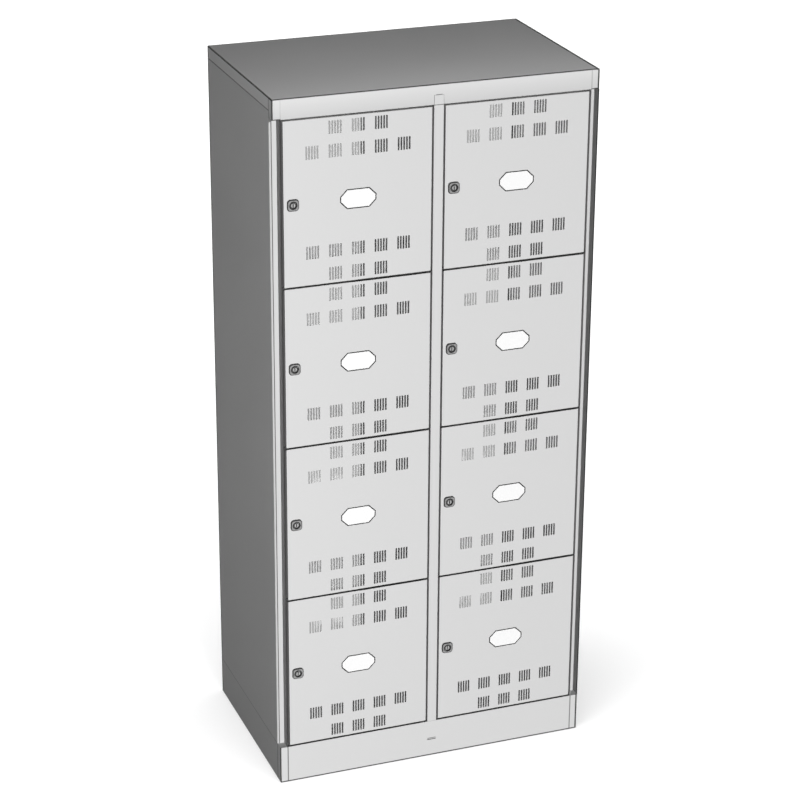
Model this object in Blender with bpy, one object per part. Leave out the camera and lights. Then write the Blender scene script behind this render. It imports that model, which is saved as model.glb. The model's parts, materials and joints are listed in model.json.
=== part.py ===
"""Eight-compartment sheet steel locker: two columns of four doors.

Metres, +Z up, front towards -Y. The origin is the centre of the object's base.
Depths called "from the front" are measured backwards from the front plane,
where the doors, the fascia, the plinth and the centre post all lie flush.
"""

import math

import bmesh
import bpy
from mathutils import Matrix, Vector

# Driving dimensions
BODY_WIDTH = 0.800
BODY_DEPTH = 0.500
BODY_HEIGHT = 1.750
COLUMNS = 2
ROWS = 4
FIRST_DOOR_LINE = 0.100
FASCIA_HEIGHT = 0.050
SHEET = 0.001
SEAM = 0.0003

# Cabinet front
DOOR_GAP = 0.004
SIDE_DOOR_GAP = 0.0043
LEFT_WALL_GAP = 0.0074
CHANNEL_WIDTH = 0.0195
CHANNEL_DEPTH = 0.024
POST_WIDTH = 0.024
STRIKE_DEPTH = 0.0205
STRIKE_REACH = 0.013
STILE_WELD_FLANGE = 0.012

# Top, back and base
SKIRT_HEIGHT = 0.030
BACK_RETURN = 0.012
BASE_FLANGE = 0.020
STOP_LIP_DROP = 0.014
HAIRLINE_WIDTH = 0.0009
HAIRLINE_DEPTH = 0.0005

# Post tongues, let into the fascia and the plinth
TONGUE_WIDTH = 0.0225
TONGUE_HEIGHT = 0.0225
TONGUE_GAP = 0.0006
TONGUE_LAP = 0.020
HOOK_HEIGHT = 0.0019
HOOK_LEVEL = 0.0476
HOOK_SLOT_HEIGHT = 0.0028
HOOK_SETBACK = 0.0004

# Shelves and floor
SHELF_RISE = 0.0025
SHELF_LIP = 0.020
FLOOR_LIP = 0.014

# Door pan
DOOR_DEPTH = 0.018
DOOR_HEM = 0.010
DOOR_EDGE_BEND = 0.0012

# Vent slots: rows above and below the label, five slots to a group
SLOT_WIDTH = 0.0040
SLOT_HEIGHT = 0.0310
SLOT_PITCH = 0.0071
SLOTS_PER_GROUP = 5
GROUP_PITCH = 0.0555
VENT_MARGIN = 0.0235
ROW_PITCH = 0.0555
OUTER_ROW_GROUPS = 3
INNER_ROW_GROUPS = 5

# Label plate
LABEL_WIDTH = 0.0875
LABEL_HEIGHT = 0.0470
LABEL_CHAMFER = 0.0168
LABEL_GAP = 0.0011
LABEL_PROUD = 0.0003
LABEL_FLANGE = 0.004
LABEL_FLANGE_THICKNESS = 0.0012

# Lock
LOCK_INSET = 0.022
BEZEL_SIZE = 0.0275
BEZEL_CORNER = 0.0080
BEZEL_PROUD = 0.0040
BEZEL_EDGE = 0.0010
BODY_RADIUS = 0.0090
BODY_LENGTH = 0.0215
RECESS_RADIUS = 0.0090
RECESS_DEPTH = 0.0022
CORE_RADIUS = 0.0066
CORE_FACE_DEPTH = 0.0008
CORE_TAIL_RADIUS = 0.0040
CORE_HEAD_RADIUS = 0.0060
CORE_HEAD_THICKNESS = 0.0020
KEYWAY_WIDTH = 0.0022
KEYWAY_HEIGHT = 0.0094
KEYWAY_DEPTH = 0.0060
NUT_ACROSS = 0.0240
NUT_THICKNESS = 0.0040
CAM_THICKNESS = 0.0020
CAM_WIDTH = 0.0140
CAM_REACH = 0.0220
CAM_SETBACK = 0.0235

# Hinges
HINGE_INSET = 0.0065
ROD_RADIUS = 0.0025
ROD_REACH = 0.008
ROD_CLEARANCE = 0.0004
COLLAR_RADIUS = 0.0042
COLLAR_THICKNESS = 0.0010
TAB_THICKNESS = 0.0012
TAB_SETBACK = 0.0015
TAB_REACH = 0.0165

# One overrun for every cut
OVERRUN = 0.002

# Number of facets on round pieces
ROUND_SIDES = 16
ROD_SIDES = 8
CORNER_STEPS = 3

# Places worked out from the sizes above
HALF_WIDTH = BODY_WIDTH / 2
FRONT = (BEZEL_PROUD - BODY_DEPTH) / 2
BACK = FRONT + BODY_DEPTH
LAST_DOOR_LINE = BODY_HEIGHT - FASCIA_HEIGHT
DOOR_PITCH = (LAST_DOOR_LINE - FIRST_DOOR_LINE) / ROWS
PLINTH_TOP = FIRST_DOOR_LINE - DOOR_GAP / 2
FASCIA_BOTTOM = LAST_DOOR_LINE + DOOR_GAP / 2
CAP_UNDERSIDE = BODY_HEIGHT - SHEET
SKIRT_BOTTOM = BODY_HEIGHT - SKIRT_HEIGHT
CHANNEL_REAR = FRONT + CHANNEL_DEPTH
RETURN_FRONT = BACK - BACK_RETURN
WALL_OUTER = HALF_WIDTH - CHANNEL_WIDTH
WALL_INNER = WALL_OUTER - SHEET
DOOR_OUTER = WALL_INNER - SIDE_DOOR_GAP
DOOR_INNER = POST_WIDTH / 2 + SIDE_DOOR_GAP
DOOR_WIDTH = DOOR_OUTER - DOOR_INNER
DOOR_HEIGHT = DOOR_PITCH - DOOR_GAP
LEFT_WALL_INNER = DOOR_OUTER + LEFT_WALL_GAP
STRIKE_END = WALL_INNER - STRIKE_REACH
POST_LIP_END = POST_WIDTH / 2 + STRIKE_REACH
STRIKE_REAR = FRONT + STRIKE_DEPTH + SHEET
SHELF_BACK = BACK - SHEET - SEAM

PAINT_GREY = (0.70, 0.70, 0.69)


def clear_scene():
    for item in list(bpy.data.objects):
        bpy.data.objects.remove(item, do_unlink=True)


def make_material(name, colour, roughness, metallic):
    material = bpy.data.materials.new(name)
    material.use_nodes = True
    shader = material.node_tree.nodes["Principled BSDF"]
    shader.inputs["Base Color"].default_value = (*colour, 1.0)
    shader.inputs["Roughness"].default_value = roughness
    shader.inputs["Metallic"].default_value = metallic
    return material


def cabinet_paint(name):
    return make_material(name + "_paint", PAINT_GREY, 0.45, 0.0)


def door_paint(name):
    return make_material(name + "_paint", (0.69, 0.69, 0.685), 0.42, 0.0)


def label_plastic(name):
    return make_material(name + "_plastic", (0.93, 0.93, 0.93), 0.5, 0.0)


def bezel_metal(name):
    return make_material(name + "_metal", (0.30, 0.31, 0.31), 0.4, 0.6)


def core_metal(name):
    return make_material(name + "_metal", (0.48, 0.48, 0.47), 0.3, 0.9)


def zinc_metal(name):
    return make_material(name + "_metal", (0.55, 0.55, 0.56), 0.35, 0.9)


def add_object(name, mesh, material=None, location=(0, 0, 0), parent=None):
    item = bpy.data.objects.new(name, mesh)
    bpy.context.collection.objects.link(item)
    item.location = location
    if parent is not None:
        item.parent = parent
    if material is not None:
        if not mesh.materials:
            mesh.materials.append(material)
        item.material_slots[0].link = "OBJECT"
        item.material_slots[0].material = material
    return item


def mesh_from(bm, name):
    bmesh.ops.recalc_face_normals(bm, faces=bm.faces)
    mesh = bpy.data.meshes.new(name)
    bm.to_mesh(mesh)
    bm.free()
    return mesh


def box_mesh(name, low, high):
    """A box between two corners."""
    bm = bmesh.new()
    centre = (Vector(low) + Vector(high)) / 2
    size = Vector(high) - Vector(low)
    matrix = Matrix.Translation(centre) @ Matrix.Diagonal((*size, 1))
    bmesh.ops.create_cube(bm, size=1, matrix=matrix)
    return mesh_from(bm, name)


def prism_mesh(name, outline, low, high, axis):
    """An outline of two coordinates, extruded along x, y or z from low to high."""
    order = {"x": lambda u, v, w: (w, u, v), "y": lambda u, v, w: (u, w, v),
             "z": lambda u, v, w: (u, v, w)}
    place = order[axis]
    bm = bmesh.new()
    verts = [bm.verts.new(place(u, v, low)) for u, v in outline]
    face = bm.faces.new(verts)
    top = bmesh.ops.extrude_face_region(bm, geom=[face])["geom"]
    moved = [item for item in top if isinstance(item, bmesh.types.BMVert)]
    bmesh.ops.translate(bm, verts=moved, vec=place(0, 0, high - low))
    return mesh_from(bm, name)


def turned_mesh(name, profile, sides):
    """A closed profile of (radius, y) points, turned about the y axis. Its first and last points
    lie on the axis."""
    bm = bmesh.new()
    verts = [bm.verts.new((radius, y, 0)) for radius, y in profile]
    edges = [bm.edges.new(pair) for pair in zip(verts, verts[1:])]
    bmesh.ops.spin(bm, geom=verts + edges, cent=(0, 0, 0), axis=(0, 1, 0), angle=math.tau, steps=sides,
                   use_merge=True)
    bmesh.ops.remove_doubles(bm, verts=bm.verts, dist=SEAM / 10)
    return mesh_from(bm, name)


def regular_outline(sides, radius, start=0.0):
    return [(radius * math.cos(start + math.tau * k / sides), radius * math.sin(start + math.tau * k / sides))
            for k in range(sides)]


def rounded_square(size, corner, steps):
    """A square outline with arcs at its corners."""
    points = []
    inset = size / 2 - corner
    for quarter in range(4):
        middle = math.tau * (quarter + 0.5) / 4
        sign_u = 1 if math.cos(middle) > 0 else -1
        sign_v = 1 if math.sin(middle) > 0 else -1
        for step in range(steps + 1):
            angle = math.tau * (quarter + step / steps) / 4
            u = sign_u * inset + corner * math.cos(angle)
            v = sign_v * inset + corner * math.sin(angle)
            points.append((u, v))
    return points


def octagon(width, height, chamfer):
    """An upright rectangle outline with its four corners cut at 45 degrees."""
    u = width / 2
    v = height / 2
    return [(-u + chamfer, -v), (u - chamfer, -v), (u, -v + chamfer), (u, v - chamfer),
            (u - chamfer, v), (-u + chamfer, v), (-u, v - chamfer), (-u, -v + chamfer)]


def boolean(mesh, tools, operation):
    """Combine a mesh with each tool mesh in turn, and return the result."""
    work = add_object("work", mesh)
    helpers = []
    for index, tool in enumerate(tools):
        helper = add_object("tool_%d" % index, tool)
        helper.hide_render = True
        helper.display_type = "WIRE"
        helpers.append(helper)
        modifier = work.modifiers.new("step_%d" % index, "BOOLEAN")
        modifier.solver = "EXACT"
        modifier.operation = operation
        modifier.object = helper
    graph = bpy.context.evaluated_depsgraph_get()
    result = bpy.data.meshes.new_from_object(work.evaluated_get(graph))
    for item in [work] + helpers:
        bpy.data.objects.remove(item, do_unlink=True)
    return flatten(result)


def flatten(mesh):
    """Join the coplanar faces that a boolean leaves in pieces."""
    bm = bmesh.new()
    bm.from_mesh(mesh)
    bmesh.ops.remove_doubles(bm, verts=bm.verts, dist=SEAM / 100)
    bmesh.ops.dissolve_limit(bm, angle_limit=math.radians(0.1), verts=bm.verts, edges=bm.edges)
    bm.to_mesh(mesh)
    bm.free()
    return mesh


def join_meshes(name, meshes):
    """Put separate closed solids into one mesh."""
    bm = bmesh.new()
    for mesh in meshes:
        bm.from_mesh(mesh)
    return mesh_from(bm, name)


def moved_copy(mesh, offset):
    copy = mesh.copy()
    copy.transform(Matrix.Translation(offset))
    return copy


def shade_round(mesh):
    for face in mesh.polygons:
        face.use_smooth = True
    mesh.set_sharp_from_angle(angle=math.radians(35))
    return mesh


def mirrored(outline):
    """The same outline on the other side of the centre plane."""
    return [(-u, v) for u, v in reversed(outline)]


def door_line(level):
    """Height of the middle of the gap under door row number level, counted from the floor."""
    return FIRST_DOOR_LINE + level * DOOR_PITCH


def front_seam_cutters(bottom, top):
    """Hairline grooves that show where the corner pieces of a front board are welded on."""
    cutters = []
    for side in (-1, 1):
        middle = side * WALL_OUTER
        low = (middle - HAIRLINE_WIDTH / 2, FRONT - OVERRUN, bottom - OVERRUN)
        high = (middle + HAIRLINE_WIDTH / 2, FRONT + HAIRLINE_DEPTH, top + OVERRUN)
        cutters.append(box_mesh("seam", low, high))
    return cutters


def build_top_cap():
    shell = box_mesh("top_cap", (-HALF_WIDTH, FRONT, SKIRT_BOTTOM), (HALF_WIDTH, BACK, BODY_HEIGHT))
    inner = HALF_WIDTH - SHEET
    hollow = box_mesh("hollow", (-inner, FRONT - OVERRUN, SKIRT_BOTTOM - OVERRUN),
                      (inner, BACK - SHEET, CAP_UNDERSIDE))
    nose = box_mesh("nose", (-HALF_WIDTH - OVERRUN, FRONT - OVERRUN, SKIRT_BOTTOM - OVERRUN),
                    (HALF_WIDTH + OVERRUN, CHANNEL_REAR + SEAM, CAP_UNDERSIDE))
    mesh = boolean(shell, [hollow, nose], "DIFFERENCE")
    add_object("top_cap", mesh, cabinet_paint("top_cap"))


def stop_lips(bottom, top):
    """Strips behind the doors' edges, one to a column, clear of the stiles and the post."""
    lips = []
    for side in (-1, 1):
        ends = sorted((side * (STRIKE_END - SEAM), side * (POST_LIP_END + SEAM)))
        low = (ends[0], FRONT + STRIKE_DEPTH, bottom)
        lips.append(box_mesh("lip", low, (ends[1], STRIKE_REAR, top)))
    return lips


def build_fascia():
    top = CAP_UNDERSIDE - SEAM
    inner = HALF_WIDTH - SHEET
    shell = box_mesh("fascia", (-HALF_WIDTH, FRONT, FASCIA_BOTTOM), (HALF_WIDTH, CHANNEL_REAR, top))
    hollow = box_mesh("hollow", (-inner, FRONT + SHEET, FASCIA_BOTTOM + SHEET),
                      (inner, CHANNEL_REAR + OVERRUN, top - SHEET))
    half = TONGUE_WIDTH / 2 + TONGUE_GAP
    notch = box_mesh("notch", (-half, FRONT - OVERRUN, FASCIA_BOTTOM - OVERRUN),
                     (half, FRONT + SHEET + SEAM, FASCIA_BOTTOM + TONGUE_HEIGHT + TONGUE_GAP))
    mesh = boolean(shell, stop_lips(FASCIA_BOTTOM - STOP_LIP_DROP, FASCIA_BOTTOM + SHEET), "UNION")
    pins = [rod_hole((hinge_x(column), hinge_y(), FASCIA_BOTTOM)) for column in range(COLUMNS)]
    cutters = [hollow, notch] + front_seam_cutters(FASCIA_BOTTOM, top) + pins
    mesh = boolean(mesh, cutters, "DIFFERENCE")
    add_object("fascia", mesh, cabinet_paint("fascia"))


def build_plinth_front():
    inner = HALF_WIDTH - SHEET
    shell = box_mesh("plinth_front", (-HALF_WIDTH, FRONT, 0), (HALF_WIDTH, CHANNEL_REAR, PLINTH_TOP))
    hollow = box_mesh("hollow", (-inner, FRONT + SHEET, SHEET),
                      (inner, CHANNEL_REAR + OVERRUN, PLINTH_TOP - SHEET))
    half = TONGUE_WIDTH / 2 + TONGUE_GAP
    slot = box_mesh("slot", (-half, FRONT - OVERRUN, HOOK_LEVEL - HOOK_SLOT_HEIGHT / 2),
                    (half, FRONT + SHEET + SEAM, HOOK_LEVEL + HOOK_SLOT_HEIGHT / 2))
    mouth = box_mesh("mouth", (-half, FRONT + SHEET, PLINTH_TOP - SHEET - OVERRUN),
                     (half, FRONT + SHEET + SEAM + SHEET + SEAM, PLINTH_TOP + OVERRUN))
    pins = [rod_hole((hinge_x(column), hinge_y(), PLINTH_TOP)) for column in range(COLUMNS)]
    cutters = [hollow, slot, mouth] + front_seam_cutters(0, PLINTH_TOP) + pins
    mesh = boolean(shell, cutters, "DIFFERENCE")
    add_object("plinth_front", mesh, cabinet_paint("plinth_front"))


def build_plinth_rear():
    start = CHANNEL_REAR + SEAM
    inner = HALF_WIDTH - SHEET
    opening = HALF_WIDTH - BASE_FLANGE
    shell = box_mesh("plinth_rear", (-HALF_WIDTH, start, 0), (HALF_WIDTH, BACK, PLINTH_TOP))
    hollow = box_mesh("hollow", (-inner, start - OVERRUN, SHEET), (inner, BACK - SHEET, PLINTH_TOP - SHEET))
    well = box_mesh("well", (-opening, start - OVERRUN, -OVERRUN),
                    (opening, BACK - BASE_FLANGE, PLINTH_TOP + OVERRUN))
    mesh = boolean(shell, [hollow, well], "DIFFERENCE")
    add_object("plinth_rear", mesh, cabinet_paint("plinth_rear"))


def build_side_panels():
    """Flat sheets. The right one reaches the front plane as the outer wall of its channel, and the
    left one ends at the rear of its channel, which is open to the side."""
    bottom = PLINTH_TOP + SEAM
    shoulder = FASCIA_BOTTOM - SEAM
    top = SKIRT_BOTTOM - SEAM
    step = CHANNEL_REAR + SEAM
    rear = RETURN_FRONT - SEAM
    plain = [(step, bottom), (rear, bottom), (rear, top), (step, top)]
    cheeked = [(FRONT, bottom), (rear, bottom), (rear, top), (step, top), (step, shoulder), (FRONT, shoulder)]
    for side, name, outline in ((-1, "side_panel_left", plain), (1, "side_panel_right", cheeked)):
        faces = sorted((side * HALF_WIDTH, side * (HALF_WIDTH - SHEET)))
        mesh = prism_mesh(name, outline, faces[0], faces[1], "x")
        add_object(name, mesh, cabinet_paint(name))


def build_back_panel():
    bottom = PLINTH_TOP + SEAM
    top = SKIRT_BOTTOM - SEAM
    inner = HALF_WIDTH - SHEET
    u = HALF_WIDTH
    outline = [(-u, RETURN_FRONT), (-inner, RETURN_FRONT), (-inner, BACK - SHEET), (inner, BACK - SHEET),
               (inner, RETURN_FRONT), (u, RETURN_FRONT), (u, BACK), (-u, BACK)]
    add_object("back_panel", prism_mesh("back_panel", outline, bottom, top, "z"), cabinet_paint("back_panel"))


def stile_outline(wall):
    """Right-hand stile in plan: inner wall beside the doors, strike lip behind them, web at the back
    of the side channel and a weld flange along the side panel."""
    seat = HALF_WIDTH - SHEET - SEAM
    web_rear = CHANNEL_REAR + SHEET
    flange_rear = web_rear + STILE_WELD_FLANGE
    strike_front = FRONT + STRIKE_DEPTH
    return [(wall, FRONT), (wall + SHEET, FRONT), (wall + SHEET, CHANNEL_REAR), (seat, CHANNEL_REAR),
            (seat, flange_rear), (seat - SHEET, flange_rear), (seat - SHEET, web_rear), (wall, web_rear),
            (wall, STRIKE_REAR), (STRIKE_END, STRIKE_REAR), (STRIKE_END, strike_front), (wall, strike_front)]


def build_stiles():
    bottom = PLINTH_TOP + SEAM
    top = FASCIA_BOTTOM - SEAM
    plain = prism_mesh("stile_right", stile_outline(WALL_INNER), bottom, top, "z")
    add_object("stile_right", with_hinge_tabs(plain, COLUMNS - 1), cabinet_paint("stile_right"))
    left = prism_mesh("stile_left", mirrored(stile_outline(LEFT_WALL_INNER)), bottom, top, "z")
    add_object("stile_left", left, cabinet_paint("stile_left"))


def post_outline():
    """Hat section in plan: face, two returns and two strike lips."""
    face = POST_WIDTH / 2
    inner = face - SHEET
    strike_front = FRONT + STRIKE_DEPTH
    right = [(face, FRONT), (face, strike_front), (POST_LIP_END, strike_front), (POST_LIP_END, STRIKE_REAR),
             (inner, STRIKE_REAR), (inner, FRONT + SHEET)]
    return right + mirrored(right)


def build_center_post():
    bottom = PLINTH_TOP + SEAM
    top = FASCIA_BOTTOM - SEAM
    half = TONGUE_WIDTH / 2
    post = prism_mesh("center_post", post_outline(), bottom, top, "z")
    upper = box_mesh("upper_tongue", (-half, FRONT, top - TONGUE_LAP),
                     (half, FRONT + SHEET, FASCIA_BOTTOM + TONGUE_HEIGHT))
    strap_front = FRONT + SHEET + SEAM
    strap_rear = strap_front + SHEET
    hook_bottom = HOOK_LEVEL - HOOK_HEIGHT / 2
    pad = box_mesh("pad", (-half, FRONT + SHEET / 2, bottom), (half, strap_rear, bottom + TONGUE_LAP))
    strap = box_mesh("strap", (-half, strap_front, hook_bottom), (half, strap_rear, bottom + TONGUE_LAP))
    hook = box_mesh("hook", (-half, FRONT + HOOK_SETBACK, hook_bottom),
                    (half, strap_rear, HOOK_LEVEL + HOOK_HEIGHT / 2))
    mesh = boolean(post, [upper, pad, strap, hook], "UNION")
    crease = box_mesh("crease", (-POST_WIDTH, FRONT - OVERRUN, top - HAIRLINE_WIDTH / 2),
                      (POST_WIDTH, FRONT + HAIRLINE_DEPTH, top + HAIRLINE_WIDTH / 2))
    mesh = with_hinge_tabs(boolean(mesh, [crease], "DIFFERENCE"), 0)
    add_object("center_post", mesh, cabinet_paint("center_post"))


def build_center_partition():
    """Folded upright between the columns, as wide as the post: two walls joined along the back panel,
    their front edges stepped back to pass behind the fascia."""
    bottom = PLINTH_TOP + SEAM + SHEET + SEAM
    front = STRIKE_REAR + SEAM
    step = CHANNEL_REAR + SEAM
    shoulder = FASCIA_BOTTOM - SEAM
    top = CAP_UNDERSIDE - SEAM
    outline = [(front, bottom), (SHELF_BACK, bottom), (SHELF_BACK, top), (step, top), (step, shoulder),
               (front, shoulder)]
    half = POST_WIDTH / 2
    shell = prism_mesh("center_partition", outline, -half, half, "x")
    hollow = box_mesh("hollow", (SHEET - half, front - OVERRUN, bottom - OVERRUN),
                      (half - SHEET, SHELF_BACK - SHEET, top + OVERRUN))
    mesh = boolean(shell, [hollow], "DIFFERENCE")
    add_object("center_partition", mesh, cabinet_paint("center_partition"))


def shelf_outline(inner_edge):
    """Right-hand shelf in plan, notched around the post's lip and the stile."""
    seat = HALF_WIDTH - SHEET - SEAM
    front = FRONT + STRIKE_DEPTH
    post_side = POST_LIP_END + SEAM
    stile_side = STRIKE_END - SEAM
    behind_web = CHANNEL_REAR + SHEET + SEAM
    behind_flange = CHANNEL_REAR + SHEET + STILE_WELD_FLANGE + SEAM
    beside_flange = seat - SHEET - SEAM
    return [(post_side, front), (stile_side, front), (stile_side, behind_web), (beside_flange, behind_web),
            (beside_flange, behind_flange), (seat, behind_flange), (seat, SHELF_BACK),
            (inner_edge, SHELF_BACK), (inner_edge, STRIKE_REAR + SEAM), (post_side, STRIKE_REAR + SEAM)]


def shelf_mesh(name, outline, side, top, lip_bottom):
    """A shelf sheet with its front edge folded down to lip_bottom."""
    shape = outline if side > 0 else mirrored(outline)
    sheet = prism_mesh(name, shape, top - SHEET, top, "z")
    lip = stop_lips(lip_bottom, top)[0 if side < 0 else 1]
    return boolean(sheet, [lip], "UNION")


def build_shelves():
    outline = shelf_outline(POST_WIDTH / 2 + SEAM)
    for side, column in ((-1, "left"), (1, "right")):
        for row in range(1, ROWS):
            line = door_line(ROWS - row)
            top = line + SHELF_RISE
            name = "shelf_%s_%d" % (column, row)
            mesh = shelf_mesh(name, outline, side, top, top - SHELF_LIP)
            add_object(name, mesh, cabinet_paint(name))


def build_floor_panel():
    """One sheet under both columns, with a lip turned up behind the lowest doors."""
    bottom = PLINTH_TOP + SEAM
    half = [point for point in shelf_outline(0) if point[0] > 0]
    right = half[-1:] + half[:-1]
    sheet = prism_mesh("floor_panel", right + mirrored(right), bottom, bottom + SHEET, "z")
    mesh = boolean(sheet, stop_lips(bottom, bottom + FLOOR_LIP), "UNION")
    add_object("floor_panel", mesh, cabinet_paint("floor_panel"))


def hinge_x(column):
    """The hinge axis is near each door's right edge."""
    right_edge = DOOR_OUTER if column == COLUMNS - 1 else -DOOR_INNER
    return right_edge - HINGE_INSET


def hinge_y():
    return FRONT + HINGE_INSET


def rod_hole(centre):
    """A round cutter through one sheet, on the hinge axis."""
    outline = regular_outline(ROD_SIDES, ROD_RADIUS + ROD_CLEARANCE)
    shape = prism_mesh("rod_hole", outline, -OVERRUN, OVERRUN, "z")
    shape.transform(Matrix.Translation(centre))
    return shape


def with_hinge_tabs(mesh, column):
    """Weld on the plates that stand in the gaps between one column's doors, with holes for the hinge rod."""
    axis = hinge_x(column)
    wall = axis + HINGE_INSET + SIDE_DOOR_GAP
    places = [(axis, hinge_y(), door_line(level)) for level in range(1, ROWS)]
    tabs = []
    for place in places:
        low = (wall - TAB_REACH, FRONT + TAB_SETBACK, place[2] - TAB_THICKNESS)
        high = (wall + SHEET / 2, FRONT + STRIKE_DEPTH - SEAM, place[2])
        tabs.append(box_mesh("tab", low, high))
    return boolean(boolean(mesh, tabs, "UNION"), [rod_hole(place) for place in places], "DIFFERENCE")


def build_hinge_rods():
    """One full-height rod to a column. Its collars rest on the plinth and on the tabs, and carry
    the doors."""
    edge = SEAM + COLLAR_THICKNESS
    room = DOOR_GAP / 2 - SEAM
    collars = {0: (-room, edge), ROWS: (-edge, room)}
    profile = [(0, FIRST_DOOR_LINE - ROD_REACH), (ROD_RADIUS, FIRST_DOOR_LINE - ROD_REACH)]
    for level in range(ROWS + 1):
        line = door_line(level)
        bottom, top = collars.get(level, (SEAM, edge))
        profile += [(ROD_RADIUS, line + bottom), (COLLAR_RADIUS, line + bottom), (COLLAR_RADIUS, line + top),
                    (ROD_RADIUS, line + top)]
    profile += [(ROD_RADIUS, LAST_DOOR_LINE + ROD_REACH), (0, LAST_DOOR_LINE + ROD_REACH)]
    rod = turned_mesh("hinge_rod", profile, ROD_SIDES)
    rod.transform(Matrix.Rotation(math.radians(90), 4, "X"))
    shade_round(rod)
    for column, name in enumerate(("hinge_rod_left", "hinge_rod_right")):
        add_object(name, rod, zinc_metal(name), (hinge_x(column), hinge_y(), 0))


def vent_cutter():
    """All the slots of one door in one mesh, about the door's centre."""
    slots = []
    depth = (-OVERRUN, SHEET + OVERRUN)
    outer = DOOR_HEIGHT / 2 - VENT_MARGIN
    inner = outer - ROW_PITCH
    rows = [(outer, OUTER_ROW_GROUPS), (inner, INNER_ROW_GROUPS), (-inner, INNER_ROW_GROUPS),
            (-outer, OUTER_ROW_GROUPS)]
    for level, groups in rows:
        for group in range(groups):
            middle = (group - (groups - 1) / 2) * GROUP_PITCH
            for slot in range(SLOTS_PER_GROUP):
                x = middle + (slot - (SLOTS_PER_GROUP - 1) / 2) * SLOT_PITCH
                low = (x - SLOT_WIDTH / 2, depth[0], level - SLOT_HEIGHT / 2)
                slots.append(box_mesh("slot", low, (x + SLOT_WIDTH / 2, depth[1], level + SLOT_HEIGHT / 2)))
    return join_meshes("vents", slots)


def pan_mesh():
    """Plain door pan about its centre, front face at y = 0: skin, four returns and a hem all round."""
    u = DOOR_WIDTH / 2
    v = DOOR_HEIGHT / 2
    bm = bmesh.new()
    centre = Vector((0, DOOR_DEPTH / 2, 0))
    matrix = Matrix.Translation(centre) @ Matrix.Diagonal((DOOR_WIDTH, DOOR_DEPTH, DOOR_HEIGHT, 1))
    bmesh.ops.create_cube(bm, size=1, matrix=matrix)
    front = [edge for edge in bm.edges if all(vert.co.y < DOOR_DEPTH / 2 for vert in edge.verts)]
    bmesh.ops.bevel(bm, geom=front, offset=DOOR_EDGE_BEND, segments=1, profile=0.5, affect="EDGES")
    shell = mesh_from(bm, "pan")
    hollow = box_mesh("hollow", (-u + SHEET, SHEET, -v + SHEET), (u - SHEET, DOOR_DEPTH - SHEET, v - SHEET))
    edge = SHEET + DOOR_HEM
    mouth = box_mesh("mouth", (-u + edge, DOOR_DEPTH - SHEET - OVERRUN, -v + edge),
                     (u - edge, DOOR_DEPTH + OVERRUN, v - edge))
    return boolean(shell, [hollow, mouth], "DIFFERENCE")


def door_mesh():
    """One door about its centre, with its vents, label cut-out, lock hole and pin holes."""
    u = DOOR_WIDTH / 2
    v = DOOR_HEIGHT / 2
    rear = SHEET + OVERRUN
    window = prism_mesh("window", octagon(LABEL_WIDTH, LABEL_HEIGHT, LABEL_CHAMFER), -OVERRUN, rear, "y")
    hole = prism_mesh("hole", regular_outline(ROUND_SIDES, BODY_RADIUS + SEAM), -OVERRUN, rear, "y")
    lock = moved_copy(hole, (LOCK_INSET - u, 0, 0))
    pins = [rod_hole((u - HINGE_INSET, HINGE_INSET, side * (v - SHEET / 2))) for side in (-1, 1)]
    return boolean(pan_mesh(), [vent_cutter(), window, lock] + pins, "DIFFERENCE")


def label_mesh():
    """Octagonal insert about its centre: a face that fills the cut-out and a flange behind the skin."""
    rear = SHEET + SEAM
    flange_rear = rear + LABEL_FLANGE_THICKNESS
    shrink = 2 * LABEL_GAP
    grow = 2 * LABEL_FLANGE
    face_outline = octagon(LABEL_WIDTH - shrink, LABEL_HEIGHT - shrink, LABEL_CHAMFER - LABEL_GAP / 2)
    flange_outline = octagon(LABEL_WIDTH + grow, LABEL_HEIGHT + grow, LABEL_CHAMFER + LABEL_FLANGE / 2)
    face = prism_mesh("label", face_outline, -LABEL_PROUD, flange_rear, "y")
    flange = prism_mesh("flange", flange_outline, rear, flange_rear, "y")
    return boolean(face, [flange], "UNION")


def lock_body_mesh():
    """Bezel, threaded body and nut about the lock's axis, with the skin's front at y = 0."""
    outline = rounded_square(BEZEL_SIZE, BEZEL_CORNER, CORNER_STEPS)
    bezel = prism_mesh("bezel", outline, -BEZEL_PROUD, -SEAM, "y")
    bm = bmesh.new()
    bm.from_mesh(bezel)
    rim = [edge for edge in bm.edges if all(vert.co.y < -BEZEL_PROUD + SEAM for vert in edge.verts)]
    bmesh.ops.bevel(bm, geom=rim, offset=BEZEL_EDGE, segments=1, profile=0.5, affect="EDGES")
    bezel = mesh_from(bm, "lock_body")
    barrel = prism_mesh("barrel", regular_outline(ROUND_SIDES, BODY_RADIUS), -BEZEL_PROUD / 2,
                        BODY_LENGTH, "y")
    nut_front = SHEET + SEAM
    nut_radius = NUT_ACROSS / 2 / math.cos(math.tau / 12)
    nut = prism_mesh("nut", regular_outline(6, nut_radius), nut_front, nut_front + NUT_THICKNESS, "y")
    mesh = boolean(bezel, [barrel, nut], "UNION")
    bore = prism_mesh("bore", regular_outline(ROUND_SIDES, CORE_RADIUS + SEAM), -BEZEL_PROUD - OVERRUN,
                      BODY_LENGTH + OVERRUN, "y")
    recess = prism_mesh("recess", regular_outline(ROUND_SIDES, RECESS_RADIUS), -BEZEL_PROUD - OVERRUN,
                        -BEZEL_PROUD + RECESS_DEPTH, "y")
    return shade_round(boolean(mesh, [recess, bore], "DIFFERENCE"))


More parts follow.
